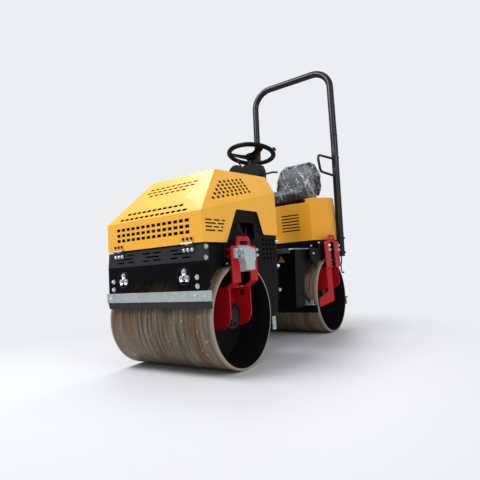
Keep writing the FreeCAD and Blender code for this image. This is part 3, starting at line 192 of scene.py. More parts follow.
for name, place, aim, size, watts in (
        ("key_lamp", (2.6, -1.4, 4.6), (0.1, 0, 0.6), 2.6, 200),
        ("side_lamp", (1.6, 4.8, 3.0), (0, 0, 0.7), 3.2, 105),
        ("rear_lamp", (-4.0, -1.0, 3.6), (0, 0, 0.9), 2.4, 60),
        ("ridge_lamp", (-0.2, -1.5, 3.9), (0.75, 0.15, 1.0), 1.2, 26)):
    data = bpy.data.lights.new(name, "AREA")
    data.shape = "DISK"
    data.size = size
    data.energy = watts
    lamp = shown(name, data)
    lamp.location = place
    lamp.rotation_euler = (Vector(aim) - Vector(place)).to_track_quat("-Z", "Y").to_euler()

floor_half = 9.0
floor_corners = [(x * floor_half, y * floor_half, 0) for x, y in ((-1, -1), (1, -1), (1, 1), (-1, 1))]
fade_centre = (0.45, -0.35, 0)
fade_from, fade_to = 1.2, 2.4
floor_mesh = bpy.data.meshes.new("floor")
floor_mesh.from_pydata(floor_corners, [], [(0, 1, 2, 3)])
floor = shown("floor", floor_mesh)
floor.location.z = -0.0005

floor_paint, tree, shader, place = surface("studio_floor_paint", Roughness=0.55, Base_Color=srgb("#DADCDF"))
offset = add(tree, "VectorMath", {0: place}, {1: fade_centre}, operation="SUBTRACT")
away = add(tree, "VectorMath", {0: offset}, operation="LENGTH")
fade = add(tree, "MapRange", {0: away}, limits(fade_from, fade_to), interpolation_type="SMOOTHSTEP")
blend = add(tree, "MixShader", {0: fade, 1: shader, 2: add(tree, "BsdfTransparent")})
feed(tree.nodes["Material Output"], {"Surface": blend})
floor_mesh.materials.append(floor_paint)

# %% [markdown]
# ## Enamel and powder coat
# The body is folded sheet steel with sprayed enamel: glossy, with a faint orange peel about 2 mm across,
# and slightly uneven in tone where the coat is thinner. The frame and the hoop are powder coated, which
# is the same idea with a duller, finer grain. Both gather a pale dust and turn paler along folded edges,
# partly as rubbed wear and partly as a painted highlight where a fold catches the light. The edge is found
# by comparing the true surface direction with one rounded over a small radius, so the paler edge follows
# every fold of any mesh. On the bumper, a lighter grey above the band's lower edge is painted sheen for
# the light its upward tilt catches.

# %% A sprayed coat
def sprayed(name, colour, shade, dust="#8A8074", rough=(0.3, 0.42), peel=2.0, depth=0.05, dusty=0.18,
            rub_and_highlight="#FFFFFF", rub_and_highlight_share=0.35, edge=1.6, upper=None, **sockets):
    """Paint on steel: colour drifts to shade over a hand's width, dust lies in a fine mottle, and edges turn
    paler, partly as rubbed wear and partly as a painted highlight on the fold.
    Above the height held in upper, in metres, a second, lighter colour takes over: painted sheen for the
    light that an upward-tilted band catches."""
    material, tree, shader, place = surface(name, **sockets)
    drift = add(tree, "TexNoise", {0: place}, {"Scale": 1 / 0.22, "Detail": 3.0})
    tone = add(tree, "Mix", {0: drift}, {6: colour, 7: shade})
    if upper:
        level = add(tree, "SeparateXYZ", {0: place}).outputs["Z"]
        above = add(tree, "Math", {0: level}, {1: upper[0]}, operation="GREATER_THAN")
        tone = add(tree, "Mix", {0: above, 6: tone}, {7: upper[1]})
    mottle = add(tree, "TexNoise", {0: place}, {"Scale": 1 / 0.045, "Detail": 9.0, "Roughness": 0.68})
    film = add(tree, "MapRange", {0: mottle}, limits(0.5, 0.82, 0.0, dusty))
    dirty = add(tree, "Mix", {0: film, 6: tone}, {7: dust})
    # Folded edges turn towards the rub colour: partly rubbed wear, partly a painted highlight where a fold
    # catches light.
    rounded = add(tree, "Bevel", values={"Radius": edge * MM}, samples=4)
    true = add(tree, "NewGeometry").outputs["Normal"]
    same = add(tree, "VectorMath", {0: rounded, 1: true}, operation="DOT_PRODUCT")
    fold = add(tree, "MapRange", {0: same}, limits(0.985, 0.8, 0.0, rub_and_highlight_share))
    worn = add(tree, "Math", {0: fold, 1: mottle}, operation="MULTIPLY")
    final = add(tree, "Mix", {0: worn, 6: dirty}, {7: rub_and_highlight})
    polish = add(tree, "MapRange", {0: mottle}, limits(0.3, 0.7, *rough))
    skin = add(tree, "TexNoise", {0: place}, {"Scale": 1 / (peel * MM), "Detail": 2.0})
    bump = add(tree, "Bump", {"Height": skin}, {"Strength": depth, "Distance": peel * 0.2 * MM})
    feed(shader, {"Base Color": final, "Roughness": polish, "Normal": bump})
    return material


powder = {"rough": (0.4, 0.58), "peel": 0.9, "depth": 0.09}
front_enamel = sprayed("yellow_alkyd_enamel_hood", "#FFBC36", "#FAB22C", rub_and_highlight="#FFE9B0",
                       rough=(0.32, 0.42), dusty=0.1, Coat_Weight=0.2, Coat_Roughness=0.3)
rear_enamel = sprayed("yellow_alkyd_enamel_body", "#FBB02A", "#F5A722", rub_and_highlight="#FFD98C", dusty=0.1,
                      Coat_Weight=0.12, Coat_Roughness=0.25)
bracket_enamel = sprayed("red_alkyd_enamel", "#BF0F19", "#A80C14", rub_and_highlight="#E0565C", rub_and_highlight_share=0.7, edge=2.5,
                         dusty=0.08, Specular_IOR_Level=0.28)
black_coat = sprayed("black_polyester_powder_coat", "#070709", "#0C0C0E", dust="#26231F", rub_and_highlight="#2C2E32",
                     dusty=0.14, Specular_IOR_Level=0.1, **powder)
# Above 0.582 m the bumper's band tilts up; its grey there is painted sheen for the light that tilt catches.
bumper_coat_with_painted_sheen = sprayed("black_powder_coat_with_painted_sheen_band", "#050506", "#08080A", dust="#1E1C1A",
                      rub_and_highlight="#26282C", dusty=0.12, upper=(0.582, "#323336"), Specular_IOR_Level=0.07, **powder)
# Grey painted sheen for the hinge leaves on the bumper's upward-tilted band, matching the band's painted
# sheen.
band_sheen_coat = sprayed("black_powder_coat_painted_sheen_grey", "#27282A", "#2C2D2F", dust="#4A4642", rub_and_highlight="#4A4C50",
                    rough=(0.42, 0.58), peel=0.9, depth=0.09, dusty=0.2, Specular_IOR_Level=0.25)
hoop_coat = sprayed("black_gloss_powder_coat", "#08090B", "#0C0D10", dust="#2A2826", rub_and_highlight="#24262A",
                    rough=(0.26, 0.38), peel=1.4, depth=0.06, dusty=0.1, Specular_IOR_Level=0.36)
engine_coat = sprayed("grey_iron_casting_paint", "#3B3D3F", "#2B2C2E", dust="#6E5F4E",
                      rough=(0.5, 0.7), peel=2.5, depth=0.3, dusty=0.5)
blank_plate = sprayed("printed_polyester_film_yellow", "#B98F24", "#A98120", rough=(0.3, 0.4), peel=1.0,
                      depth=0.03, dusty=0.2)

# %% [markdown]
# ## Rolled drum steel
# The drums are bare rolled plate. Each run over stone rubs them in rings, so the brown rust lies in bands
# round the drum, from a pale ground tan to a dark brown, with small specks of fresher rust. Squashing
# noise along the axle gives the bands: it changes every few millimetres across the drum and only slowly
# round it. The rolled edges are rubbed to pale steel, and the inside is painted black.

# %% Drum steel
RUBBED_EDGE = (0.352, 0.3745)
PAINTED_INSIDE = (0.2690, 0.2672)
STILL = (0, 0, 0)
# field, cells a metre, detail, roughness, shift
DRUM_NOISE = (("band", (2.2, 46, 2.2), 5, 0.62, STILL), ("streak", (7, 320, 7), 4, 0.7, STILL),
              ("speck", (1 / 0.012,) * 3, 6, 0.7, STILL),
              ("orange", (1.6, 21, 1.6), 5, 0.66, (3.1, 7.7, 1.3)),
              ("fleck", (42, 95, 42), 2, 0.6, (5.3, 1.9, 8.2)))
# field, level where the colour starts and where it is full, its share there, its colour
DRUM_LAYERS = (("band", 0.4, 0.6, 1.0, "#7B6E5B"), ("orange", 0.5, 0.62, 0.85, "#6E4726"),
               ("streak", 0.46, 0.68, 0.62, "#8B7E6B"), ("streak", 0.5, 0.34, 0.85, "#241A14"),
               ("speck", 0.56, 0.7, 0.5, "#42291A"), ("fleck", 0.69, 0.72, 0.85, "#D6D2CA"),
               ("side", *RUBBED_EDGE, 0.85, "#A39788"))


def drum_steel(name, axle):
    material, tree, shader, place = surface(name, Specular_IOR_Level=0.3)
    centred = add(tree, "VectorMath", {0: place}, {1: (axle.x, 0, axle.z)}, operation="SUBTRACT")
    apart = add(tree, "SeparateXYZ", {0: centred}).outputs
    fields = {"side": add(tree, "Math", {0: apart["Y"]}, operation="ABSOLUTE")}
    for field, scale, detail, roughness, shift in DRUM_NOISE:
        laid = add(tree, "Mapping", {0: centred}, {"Location": shift, "Scale": scale})
        look = {"Scale": 1.0, "Detail": detail, "Roughness": roughness}
        fields[field] = add(tree, "TexNoise", {0: laid}, look)
    tone = add(tree, "RGB")
    tone.outputs[0].default_value = srgb("#352619")
    for field, start, full, share, colour in DRUM_LAYERS:
        cover = add(tree, "MapRange", {0: fields[field]}, limits(start, full, 0.0, share))
        tone = add(tree, "Mix", {0: cover, 6: tone}, {7: colour})
    flat = add(tree, "CombineXYZ", {"X": apart["X"], "Z": apart["Z"]})
    radius = add(tree, "VectorMath", {0: flat}, operation="LENGTH")
    inside = add(tree, "MapRange", {0: radius}, limits(*PAINTED_INSIDE))
    mottle = add(tree, "TexNoise", {0: place}, {"Scale": 1 / 0.05, "Detail": 8.0, "Roughness": 0.7})
    grime = add(tree, "Mix", {0: mottle}, {6: "#050506", 7: "#0E0D0D"})
    final = add(tree, "Mix", {0: inside, 6: tone, 7: grime})
    bare = add(tree, "MapRange", {0: inside}, limits(0.0, 1.0, 0.12, 0.0))
    rough = add(tree, "MapRange", {0: fields["streak"]}, limits(0.3, 0.7, 0.42, 0.62))
    relief = add(tree, "Math", {0: fields["streak"], 1: fields["speck"]}, operation="ADD")
    bump = add(tree, "Bump", {"Height": relief}, {"Strength": 0.28, "Distance": 0.6 * MM})
    feed(shader, {"Base Color": final, "Metallic": bare, "Roughness": rough, "Normal": bump})
    return material


front_drum_steel = drum_steel("rolled_steel_plate_front", front_axle)
rear_drum_steel = drum_steel("rolled_steel_plate_rear", rear_axle)

# %% [markdown]
# ## Zinc, chrome and cast metal
# The scraper bar and hinges are hot-dip galvanised: a matt grey-white with spangles about 8 mm across.
# Bolts are bright electroplated zinc. The junction box is a die casting under grey paint, and the
# cylinder's rod is hard chrome. Metals keep the default IOR, and their colour sits in the reflection.

# %% Plated and cast metals
def metal(name, light, dark, rough, grain, metallic=1.0, relief=0.1, cells=True, **sockets):
    """Bare or plated metal with a grain of that many millimetres, in cells (spangle) or as noise (cast)."""
    material, tree, shader, place = surface(name, Metallic=metallic, **sockets)
    if cells:
        pattern = add(tree, "TexVoronoi", {0: place}, {"Scale": 1 / (grain * MM)}).outputs["Color"]
        tone = add(tree, "SeparateColor", {0: pattern})
    else:
        tone = add(tree, "TexNoise", {0: place}, {"Scale": 1 / (grain * MM), "Detail": 6.0})
    stain = add(tree, "TexNoise", {0: place}, {"Scale": 1 / 0.03, "Detail": 8.0, "Roughness": 0.7})
    both = add(tree, "Math", {0: tone, 1: stain}, operation="MULTIPLY")
    colour = add(tree, "Mix", {0: both}, {6: light, 7: dark})
    dull = add(tree, "MapRange", {0: stain}, limits(0.3, 0.7, *rough))
    bump = add(tree, "Bump", {"Height": tone}, {"Strength": relief, "Distance": 0.3 * MM})
    feed(shader, {"Base Color": colour, "Roughness": dull, "Normal": bump})
    return material


galvanised = metal("hot_dip_galvanised_steel", "#CCD4D3", "#98A2A2", (0.42, 0.56), 8.0, metallic=0.75)
zinc_bolt = metal("electroplated_zinc", "#F2F4F6", "#B8BCC0", (0.22, 0.34), 3.0, relief=0.04, cells=False)
dark_bolt = metal("oiled_black_oxide_steel", "#3A3A3C", "#1E1E20", (0.35, 0.5), 3.0, relief=0.06, cells=False)
grey_casting = metal("painted_aluminium_die_casting", "#B4C1C4", "#9AA7AA", (0.36, 0.48), 1.2, metallic=0.0,
                     cells=False)
hard_chrome = metal("hard_chrome_plate", "#E8ECF0", "#C8CCD2", (0.08, 0.14), 20.0, relief=0.01, cells=False)
reflector = metal("vacuum_aluminised_reflector", "#E2E5EA", "#A8ADB5", (0.05, 0.12), 4.0, relief=0.5)

# %% [markdown]
# ## Rubber and plastics
# The wheel's rim and the levers' knobs are moulded rubber and ABS: dark, nearly matt, with a pebble grain
# under a millimetre across, drawn a little coarser so that it shows. The pad is black PVC leathercloth,
# whose grain is a cell pattern of about 1.5 mm. All of them keep a plastic's IOR of about 1.5.

# %% Moulded plastics and leathercloth
def moulded(name, colour, worn, rough, grain, relief, cells=False, **sockets):
    material, tree, shader, place = surface(name, **sockets)
    soft = add(tree, "TexNoise", {0: place}, {"Scale": 1 / 0.035, "Detail": 8.0, "Roughness": 0.7})
    tone = add(tree, "Mix", {0: soft}, {6: colour, 7: worn})
    dull = add(tree, "MapRange", {0: soft}, limits(0.3, 0.7, *rough))
    skin = add(tree, "TexVoronoi" if cells else "TexNoise", {0: place}, {"Scale": 1 / (grain * MM)})
    bump = add(tree, "Bump", {"Height": skin}, {"Strength": relief, "Distance": 0.3 * MM})
    feed(shader, {"Base Color": tone, "Roughness": dull, "Normal": bump})
    return material


wheel_rubber = moulded("moulded_polyurethane_rim", "#050506", "#0A0B0C", (0.36, 0.52), 1.2, 0.2, IOR=1.5,
                       Specular_IOR_Level=0.12)
console_abs = moulded("moulded_black_abs", "#090A0B", "#111214", (0.4, 0.56), 1.0, 0.25, IOR=1.53,
                      Specular_IOR_Level=0.25)
strip_rubber = moulded("scraper_rubber_strip", "#111110", "#201E1C", (0.6, 0.8), 3.0, 0.3, IOR=1.52)
leathercloth = moulded("black_pvc_leathercloth", "#0C0D0F", "#17181B", (0.3, 0.45), 1.5, 0.35, cells=True,
                       IOR=1.5)
lamp_glass, tree, shader, place = surface("moulded_polycarbonate_lens", IOR=1.58, Roughness=0.06, Alpha=0.16)
haze = add(tree, "TexNoise", {0: place}, {"Scale": 1 / 0.004, "Detail": 3.0})
bump = add(tree, "Bump", {"Height": haze}, {"Strength": 0.12, "Distance": 0.3 * MM})
tint = add(tree, "Mix", {0: haze}, {6: "#FFFFFF", 7: "#E2E6EC"})
feed(shader, {"Normal": bump, "Base Color": tint})

# %% [markdown]
# ## Carried-over nodes
# Most nodes already have the right form, because the real pieces are folded plate. A Weld modifier joins
# the import's split vertices, and a narrow Bevel gives each fold the small radius that catches light. The
# meshes themselves stay as they came.

# %% Finish each node
NODE_FINISH = (
    # finish, bevel in millimetres, nodes
    (front_enamel, 1.2, "hood_front_panel hood_roof_panel hood_left_panel hood_right_panel"),
    (rear_enamel, 2.5, "rear_body_centre rear_body_wings"),
    (bracket_enamel, 1.6, "front_drum_support_left front_drum_support_right rear_drum_support_left "
                          "rear_drum_support_right"),
    (black_coat, 1.2, "front_side_plates engine_deck front_bulkhead hitch_yoke hitch_trunnion rear_box "
                      "rear_box_sides rear_upper_plates rear_body_base tail_plate cushion_rails "
                      "front_drum_beam rear_drum_beams platform console_pedestal hoop_clamps"),
    (bumper_coat_with_painted_sheen, 1.2, "front_bumper"),
    (hoop_coat, 0, "rollover_hoop"),
    (galvanised, 0.8, "front_scraper_bar"),
    # The bumper's hinge leaves take the band's grey painted sheen
    (band_sheen_coat, 0.5, "bumper_hinge_leaves"),
    (front_enamel, 0.5, "hood_hinge_leaves"),
    (strip_rubber, 0.6, "front_scraper_blade"),
    (engine_coat, 6.0, "engine_block"),
    (dark_bolt, 1.5, "front_drum_hubs rear_drum_hubs"),
    (grey_casting, 3.0, "junction_boxes"),
    (console_abs, 3.0, "console"),
    (black_coat, 0.8, "cylinder_barrel"),
    (hard_chrome, 0.5, "cylinder_rod"),
    (front_drum_steel, 0, "front_drum"),
    (rear_drum_steel, 0, "rear_drum"),
)


def smooth_below(item, degrees):
    """Smooth shading where faces meet flatter than this, and the fold kept crisp elsewhere."""
    for other in bpy.context.selected_objects:
        other.select_set(False)
    item.select_set(True)
    bpy.context.view_layer.objects.active = item
    bpy.ops.object.shade_auto_smooth(angle=math.radians(degrees))
    item.select_set(False)


def soften(item, width):
    weld = item.modifiers.new("weld", "WELD")
    weld.merge_threshold = 0.02 * MM
    if width:
        bevel = item.modifiers.new("fold_radius", "BEVEL")
        bevel.width = width * MM
        bevel.segments = 2
        bevel.limit_method = "ANGLE"
        bevel.angle_limit = math.radians(28)
        bevel.harden_normals = False


for finish, width, names in NODE_FINISH:
    for name in names.split():
        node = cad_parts[name]
        soften(node, width)
        node.data.materials.clear()
        node.data.materials.append(finish)
print("finished", sum(len(names.split()) for _, _, names in NODE_FINISH), "nodes")

# %% [markdown]
# ## Making small pieces
# Nearly every small piece is a skin over a row of rings. A plate has two of them. Bolts, lamps and knobs
# are turned: a profile spun round an axis, with six steps for a hexagon head. One helper then sets a form
# in its place, and another joins many forms into one piece.

# %% Helpers for meshes
def lofted(rings, closed=False):
    """A skin over rings of equally many points: closed on itself, or with a cap at each end."""
    count, last = len(rings[0]), len(rings) - 1
    faces = []
    for r in range(last + closed):
        a, b = r * count, (r + 1) % len(rings) * count
        faces += [(a + i, a + (i + 1) % count, b + (i + 1) % count, b + i) for i in range(count)]
    if not closed:
        faces += [tuple(reversed(range(count))), tuple(range(last * count, (last + 1) * count))]
    return [v for ring in rings for v in ring], faces


def turned(profile, steps=24):
    """Rings of (radius, height) in millimetres round the Z axis."""
    angles = [2 * math.pi * (i + 0.5) / steps for i in range(steps)]
    return lofted([[Vector((radius * math.cos(a), radius * math.sin(a), height)) for a in angles]
                   for radius, height in profile])


def placed(form, spot, axis=(0, 0, 1), spin=0.0):
    """The form with its Z axis along axis, in scene metres at spot."""
    turn = Vector(axis).to_track_quat("Z", "Y").to_matrix() @ Matrix.Rotation(spin, 3, "Z")
    return [spot + turn @ (v * MM) for v in form[0]], form[1]


def piece(name, forms, finish, body, smooth=35, bevel=0):
    """Forms joined in a named mesh that rides on a body and takes the given finish."""
    verts, faces = [], []
    for more_verts, more_faces in forms:
        start = len(verts)
        verts += more_verts
        faces += [tuple(i + start for i in face) for face in more_faces]
    mesh = bpy.data.meshes.new(name)
    mesh.from_pydata(verts, [], faces)
    mesh.validate()
    shell = bmesh.new()
    shell.from_mesh(mesh)
    bmesh.ops.recalc_face_normals(shell, faces=shell.faces)
    shell.to_mesh(mesh)
    shell.free()
    mesh.materials.append(finish)
    item = shown(name, mesh)
    if bevel:
        soften(item, bevel)
    if smooth:
        smooth_below(item, smooth)
    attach(item, body)
    return item


def slab(points, low, high, plane="xy"):
    """A flat plate: its outline in two axes, its reach along the third; millimetres from the mid point."""
    if plane == "yz":
        return lofted([[at(level, *point) for point in points] for level in (low, high)])
    return lofted([[at(*point, level) for point in points] for level in (low, high)])


def block_form(low, high):
    (x0, y0, z0), (x1, y1, z1) = low, high
    return slab([(x0, y0), (x1, y0), (x1, y1), (x0, y1)], z0, z1)


# %% [markdown]
# ## Bolts
# Sheet panels are held by zinc hexagon bolts with washers, 13 mm across flats on the panels and up to
# 19 mm on the brackets. The head is chamfered, so its top is a circle a little inside the hexagon. A
# table gives each bolt's place, the side it points to and its size, and each body's bolts are one piece.

# %% Bolts on the panels
def bolt_forms(rows):
    forms = []
    for place, axis, radius in rows:
        washer = turned([(1.45 * radius, 0), (1.45 * radius, 1.4), (1.3 * radius, 1.7)], 20)
        head = turned([(radius, 1.5), (1.06 * radius, 2.0), (1.06 * radius, 1.5 + 0.85 * radius),
                       (0.84 * radius, 1.5 + 1.05 * radius)], 6)
        stub = turned([(0.55 * radius, 1.5 + radius), (0.55 * radius, 1.5 + 1.25 * radius),
                       (0.42 * radius, 1.5 + 1.4 * radius)], 12)
        spin = (place[0] * 0.37 + place[2] * 0.11) % 1.0
        forms += [placed(part, at(*place), axis, spin) for part in (washer, head, stub)]
    return forms


def mirrored(rows):
    """The rows and their mirror images on the machine's right side."""
    other = [((x, -y, z), (ax, -ay, az), r) for (x, y, z), (ax, ay, az), r in rows]
    return rows + other


FRONT, LEFT, BACK = (1, 0, 0), (0, 1, 0), (-1, 0, 0)
SIDES = (-1, 1)
hood_half = reach("hood_left_panel", HIGH, Y)
side_face = reach("front_side_plates", HIGH, Y)
nose_x = reach("hood_front_panel", HIGH, X)
bumper_x = reach("front_bumper", HIGH, X)
bar_face = reach("front_scraper_bar", HIGH, X)
# The bumper's band leans back 8 mm over its height of 85, and the leaf on it stands 3.3 proud of it
hinge_face = bumper_x - 8.0 * 60 / 85 + 3.3
hinge_y = 262
leaf_bolts = [hinge_y + step for step in (-27, 0, 27)]

front_bolts = mirrored(
    [((bumper_x, 313, 503), FRONT, 9), ((bumper_x, 313, 459), FRONT, 9),
     ((879, hood_half, 651), LEFT, 9), ((885, hood_half, 597), LEFT, 9),
     *(((x, side_face, z), LEFT, radius)
       for x, z, radius in ((155, 684, 9), (158, 529, 9), (158, 380, 8), (700, 560, 6), (260, 840, 7)))]
    + [((hinge_face + 0.8, y, 641), FRONT, 7) for y in leaf_bolts])
piece("front_panel_bolts", bolt_forms(front_bolts), zinc_bolt, "front_frame")

hood_bolts = mirrored([((nose_x + 3.3, y, 697), FRONT, 5.5) for y in leaf_bolts])
piece("hood_hinge_bolts", bolt_forms(hood_bolts), dark_bolt, "hood")

bar_bolts = [((bar_face + 2.0, -326, 412), FRONT, 7), ((bar_face, -123, 411), FRONT, 4.5),
             ((bar_face, 99, 412), FRONT, 4.5), ((bar_face, 299, 414), FRONT, 6),
             ((bar_face + 2.0, 363, 413), FRONT, 6)]
piece("scraper_bar_bolts", bolt_forms(bar_bolts), zinc_bolt, "front_frame")
plates = [block_form((bar_face, y0, 387), (bar_face + 2.0, y1, 435)) for y0, y1 in ((-367, -306), (319, 399))]
piece("scraper_end_plates", plates, galvanised, "front_frame", bevel=0.5)
print("front bolts", len(front_bolts) + len(hood_bolts) + len(bar_bolts))

# %% Bolts on the drum brackets and the rear body
rear_side = reach("rear_drum_support_left", HIGH, Y)
front_side = reach("front_drum_support_left", HIGH, Y)
upper_side = reach("rear_upper_plates", HIGH, Y)
tail_x = reach("tail_plate", LOW, X)
hub_face = reach("front_drum_hubs", HIGH, Y) - 12.0
rear_bolts = mirrored(
    [((x, rear_side, z), LEFT, 10) for x, z in ((-566, 656), (-566, 624), (-754, 656), (-754, 622))]
    + [((x, upper_side, z), LEFT, radius)
       for x, z, radius in ((-330, 600, 6), (-440, 680, 6), (-300, 655, 5))])
rear_bolts += [((tail_x + 52, side * 300, height), BACK, 8) for side in SIDES for height in (620, 760, 900)]
piece("rear_bracket_bolts", bolt_forms(rear_bolts), zinc_bolt, "rear_frame")

# Eight socket heads on a circle hold each drum's motor to its hub
screw_circle, axle_x, axle_z = 52, 608, 280
head = turned([(7.0, 0), (7.5, 0.6), (7.5, 6.4), (6.9, 7.0), (4.2, 7.0), (4.0, 3.0)], 16)
ring = [(screw_circle * math.cos(turn), screw_circle * math.sin(turn))
        for turn in (math.pi * (i + 0.5) / 4 for i in range(8))]
for end, x in (("front", axle_x), ("rear", -axle_x)):
    screws = [placed(head, at(x + over, side * hub_face, axle_z + rise), (0, side, 0))
              for side in SIDES for over, rise in ring]
    piece(end + "_hub_screws", screws, dark_bolt, end + "_frame")

box_x = (reach("junction_boxes", LOW, X) + reach("junction_boxes", HIGH, X)) / 2
box_screws = mirrored([((box_x + across, front_side + 37.6, height), LEFT, 6.5)
                       for across in (-76, 76) for height in (596, 626)]
                      + [((box_x + across, front_side + 39.0, height), LEFT, 3.5)
                         for across in (-44, 44) for height in (575, 618)])
piece("junction_box_screws", bolt_forms(box_screws), zinc_bolt, "front_frame")
print("rear bolts", len(rear_bolts), "box screws", len(box_screws))

# %% [markdown]
# ## Hinge knuckles
# The hood tips forward on two hinges. Their leaves are painted with the panels they are bolted to, so the
# only bright part is the rolled knuckle with its cover strip. The strip is a thin plate curved over the
# pin, made as a short arc of a tube.

# %% Knuckle strips
pin_x, pin_z = 906, 671
steps = 8
section = ((7.4, -39), (7.4, 39), (9.0, 39), (9.0, -39))
arc = [math.radians(-6 + 80 * i / steps) for i in range(steps + 1)]
strips = [lofted([[at(pin_x + r * math.cos(turn), side * hinge_y + across, pin_z + r * math.sin(turn))
                   for r, across in section] for turn in arc]) for side in SIDES]
piece("hinge_knuckle_strips", strips, galvanised, "hood")

# %% [markdown]
# ## Work lamps
# Each lamp is a round black housing with three small reflectors in a triangle. A real reflector is a
# polished bowl behind a clear lens, and its bulb is the dark dot in the middle. All are turned forms: a
# stepped ring for the housing, a bowl for each reflector, and a low dome with a fine ripple for the lens.

# %% Lamps
lamp_y, lamp_z, cup_circle = 228.0, 510.0, 21
lamp_front = reach("headlamps", HIGH, X)
housing = turned([(44, -28), (46, -27), (46, -1.2), (45, 0), (41.5, 0), (40.5, -0.8), (40, -8), (38, -13),
                  (2, -13)], 48)
bowl = turned([(2, -12.4), (9, -11.6), (16.6, -4), (17.2, -1.4), (16.2, -1.0), (15.0, -2.2), (12.6, -6.4),
               (8.8, -9.8), (3.8, -11.4), (1, -11.6)], 18)
bulb = turned([(5.4, -11.2), (6.2, -7), (5.2, -4), (2.2, -3)], 14)
dome = turned([(14.4, -1.9), (14.2, -1.5), (11, 0.4), (7, 1.5), (3, 2.1), (0.6, 2.2)], 28)
hearts = [at(lamp_front - 0.5, side * lamp_y, lamp_z) for side in SIDES]
cups = [heart + Vector((-1.5, cup_circle * math.cos(turn), cup_circle * math.sin(turn))) * MM
        for heart in hearts for turn in map(math.radians, (90, 210, 330))]
for name, form, spots, finish, smooth in (
        ("lamp_housings", housing, hearts, console_abs, 35), ("lamp_reflectors", bowl, cups, reflector, 12),
        ("lamp_bulbs", bulb, cups, dark_bolt, 35), ("lamp_lenses", dome, cups, lamp_glass, 35)):
    item = piece(name, [placed(form, spot, FRONT) for spot in spots], finish, "front_frame",
                 smooth)
    if name == "lamp_housings":
        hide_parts("headlamps")
print("lamps at", lamp_y, lamp_z)

# %% [markdown]
# ## Dark mat under the hood
# Seen through the slots, the inside of the hood lies in shade. A near-black fleece sheet inside, shaped as a
# sound mat, is painted shade that keeps the slots dark. The mat follows the hood's facets about 12 mm inside
# them. Shrinking the hood's corners towards its middle gives just that, and a cut keeps the mat clear of the
# rear wall.

# %% Sound mat
# Near-black fleece: painted shade for the hood's inside and for the rear body's louvre slots.
shade_fleece = moulded("black_fleece_painted_shade", "#0B0B0C", "#151516", (0.9, 1.0), 2.0, 0.6, IOR=1.45,
                 Specular_IOR_Level=0.1)
corner = {"nose_low": (900, 359, 690), "nose": (900, 359, 834), "slope": (834, 206, 927.5),
          "roof": (623, 250, 1105.5), "rear": (146, 300.9, 1113), "shoulder": (146, 359, 1001),
          "corner_low": (672, 359, 690), "corner_high": (672, 359, 884)}
mat_faces = [("nose_low", "nose", "-nose", "-nose_low"), ("nose", "slope", "-slope", "-nose"),
             ("slope", "roof", "-roof", "-slope"), ("roof", "rear", "-rear", "-roof")]
for names in (("nose", "roof", "slope"), ("nose", "shoulder", "rear", "roof"),
              ("nose_low", "corner_low", "corner_high", "nose")):
    mat_faces += [names, ["-" + name for name in reversed(names)]]
hood_middle = Vector((523, 0, 673))
mat_share = 0.966
form = bmesh.new()
made = {}
for names in mat_faces:
    for name in names:
        if name not in made:
            x, y, z = corner[name.strip("-")]
            place = Vector((x, -y if name[0] == "-" else y, z))
            made[name] = form.verts.new(at(*(hood_middle + (place - hood_middle) * mat_share)))
    form.faces.new([made[name] for name in names])
bmesh.ops.bisect_plane(form, geom=form.verts[:] + form.edges[:] + form.faces[:], plane_co=at(222, 0, 0),
                       plane_no=(-1, 0, 0), clear_outer=True)
form.verts.index_update()
mat_form = [v.co.copy() for v in form.verts], [tuple(v.index for v in face.verts) for face in form.faces]
form.free()
shade_mat = piece("hood_painted_shade_mat", [mat_form], shade_fleece, "hood", smooth=0)
thick = shade_mat.modifiers.new("shade_fleece", "SOLIDIFY")
thick.thickness = 4 * MM
thick.offset = 0
print("sound mat faces", len(mat_form[1]))

# %% [markdown]
# ## Steering wheel
# The wheel is moulded over a steel ring: a rim as thick as a thumb with finger notches on its inner side,
# three flat spokes dished down to the hub, a cap over the nut and a spinner knob. The rim is a torus
# whose tube radius ripples where the fingers lie, and the spokes are lofted from hub to rim.

# %% Steering wheel
wheel_at = at(-188, 0, 1396)
tilt = math.radians(12)
wheel_axis = Vector((-math.sin(tilt), 0, math.cos(tilt)))
wheel_across = Vector((wheel_axis.z, 0, -wheel_axis.x))
wheel_side = Vector((0, 1, 0))


def outward(turn):
    return wheel_across * math.cos(turn) + wheel_side * math.sin(turn)


def on_wheel(out, turn, rise):
    """A place at that radius, angle and height on the wheel, in millimetres from its centre."""
    return wheel_at + (outward(turn) * out + wheel_axis * rise) * MM


ring, tube = 320, 14
rim_radius, hub_radius = 171, 30
rings = []
for turn in (2 * math.pi * i / ring for i in range(ring)):
    rings.append([])
    for phi in (2 * math.pi * j / tube for j in range(tube)):
        radius = 17.4 + 1.8 * max(0.0, -math.cos(phi)) * math.cos(40 * turn)
        rings[-1].append(on_wheel(rim_radius + radius * math.cos(phi), turn, radius * math.sin(phi)))
wheel_forms = [lofted(rings, closed=True)]
for angle in (60, 180, 300):
    turn = math.radians(angle)
    sections = []
    for share in (0.0, 0.15, 0.4, 0.7, 1.0):
        out = hub_radius + (160 - hub_radius) * share
        rise = -26 + 24 * share ** 1.4
        width = 34 - 9 * share + 8 * (1 - share) ** 3
        side = wheel_axis.cross(outward(turn))
        place = on_wheel(out, turn, rise)
        sections.append([place + (side * w + wheel_axis * h) * MM for w, h in
                         ((-width, -2), (-width * 0.8, 4), (0, 6.5), (width * 0.8, 4), (width, -2), (0, -5))])
    wheel_forms.append(lofted(sections))
hub = turned([(11.2, -49), (30, -49), (34, -47), (45, -24), (47, -18), (45, -12), (40, -9), (36, -4),
              (33, -1), (12, 1), (2, 1.2)], 36)
knob_turn = math.radians(118)
stem = turned([(6, 12), (6, 27), (9, 29), (9, 31)], 16)
ball = turned([(6, 22), (12, 24.5), (17, 30), (19, 38), (18.5, 43), (15, 51), (9, 56), (3, 57.5)], 28)
knob_at = on_wheel(rim_radius, knob_turn, 0)
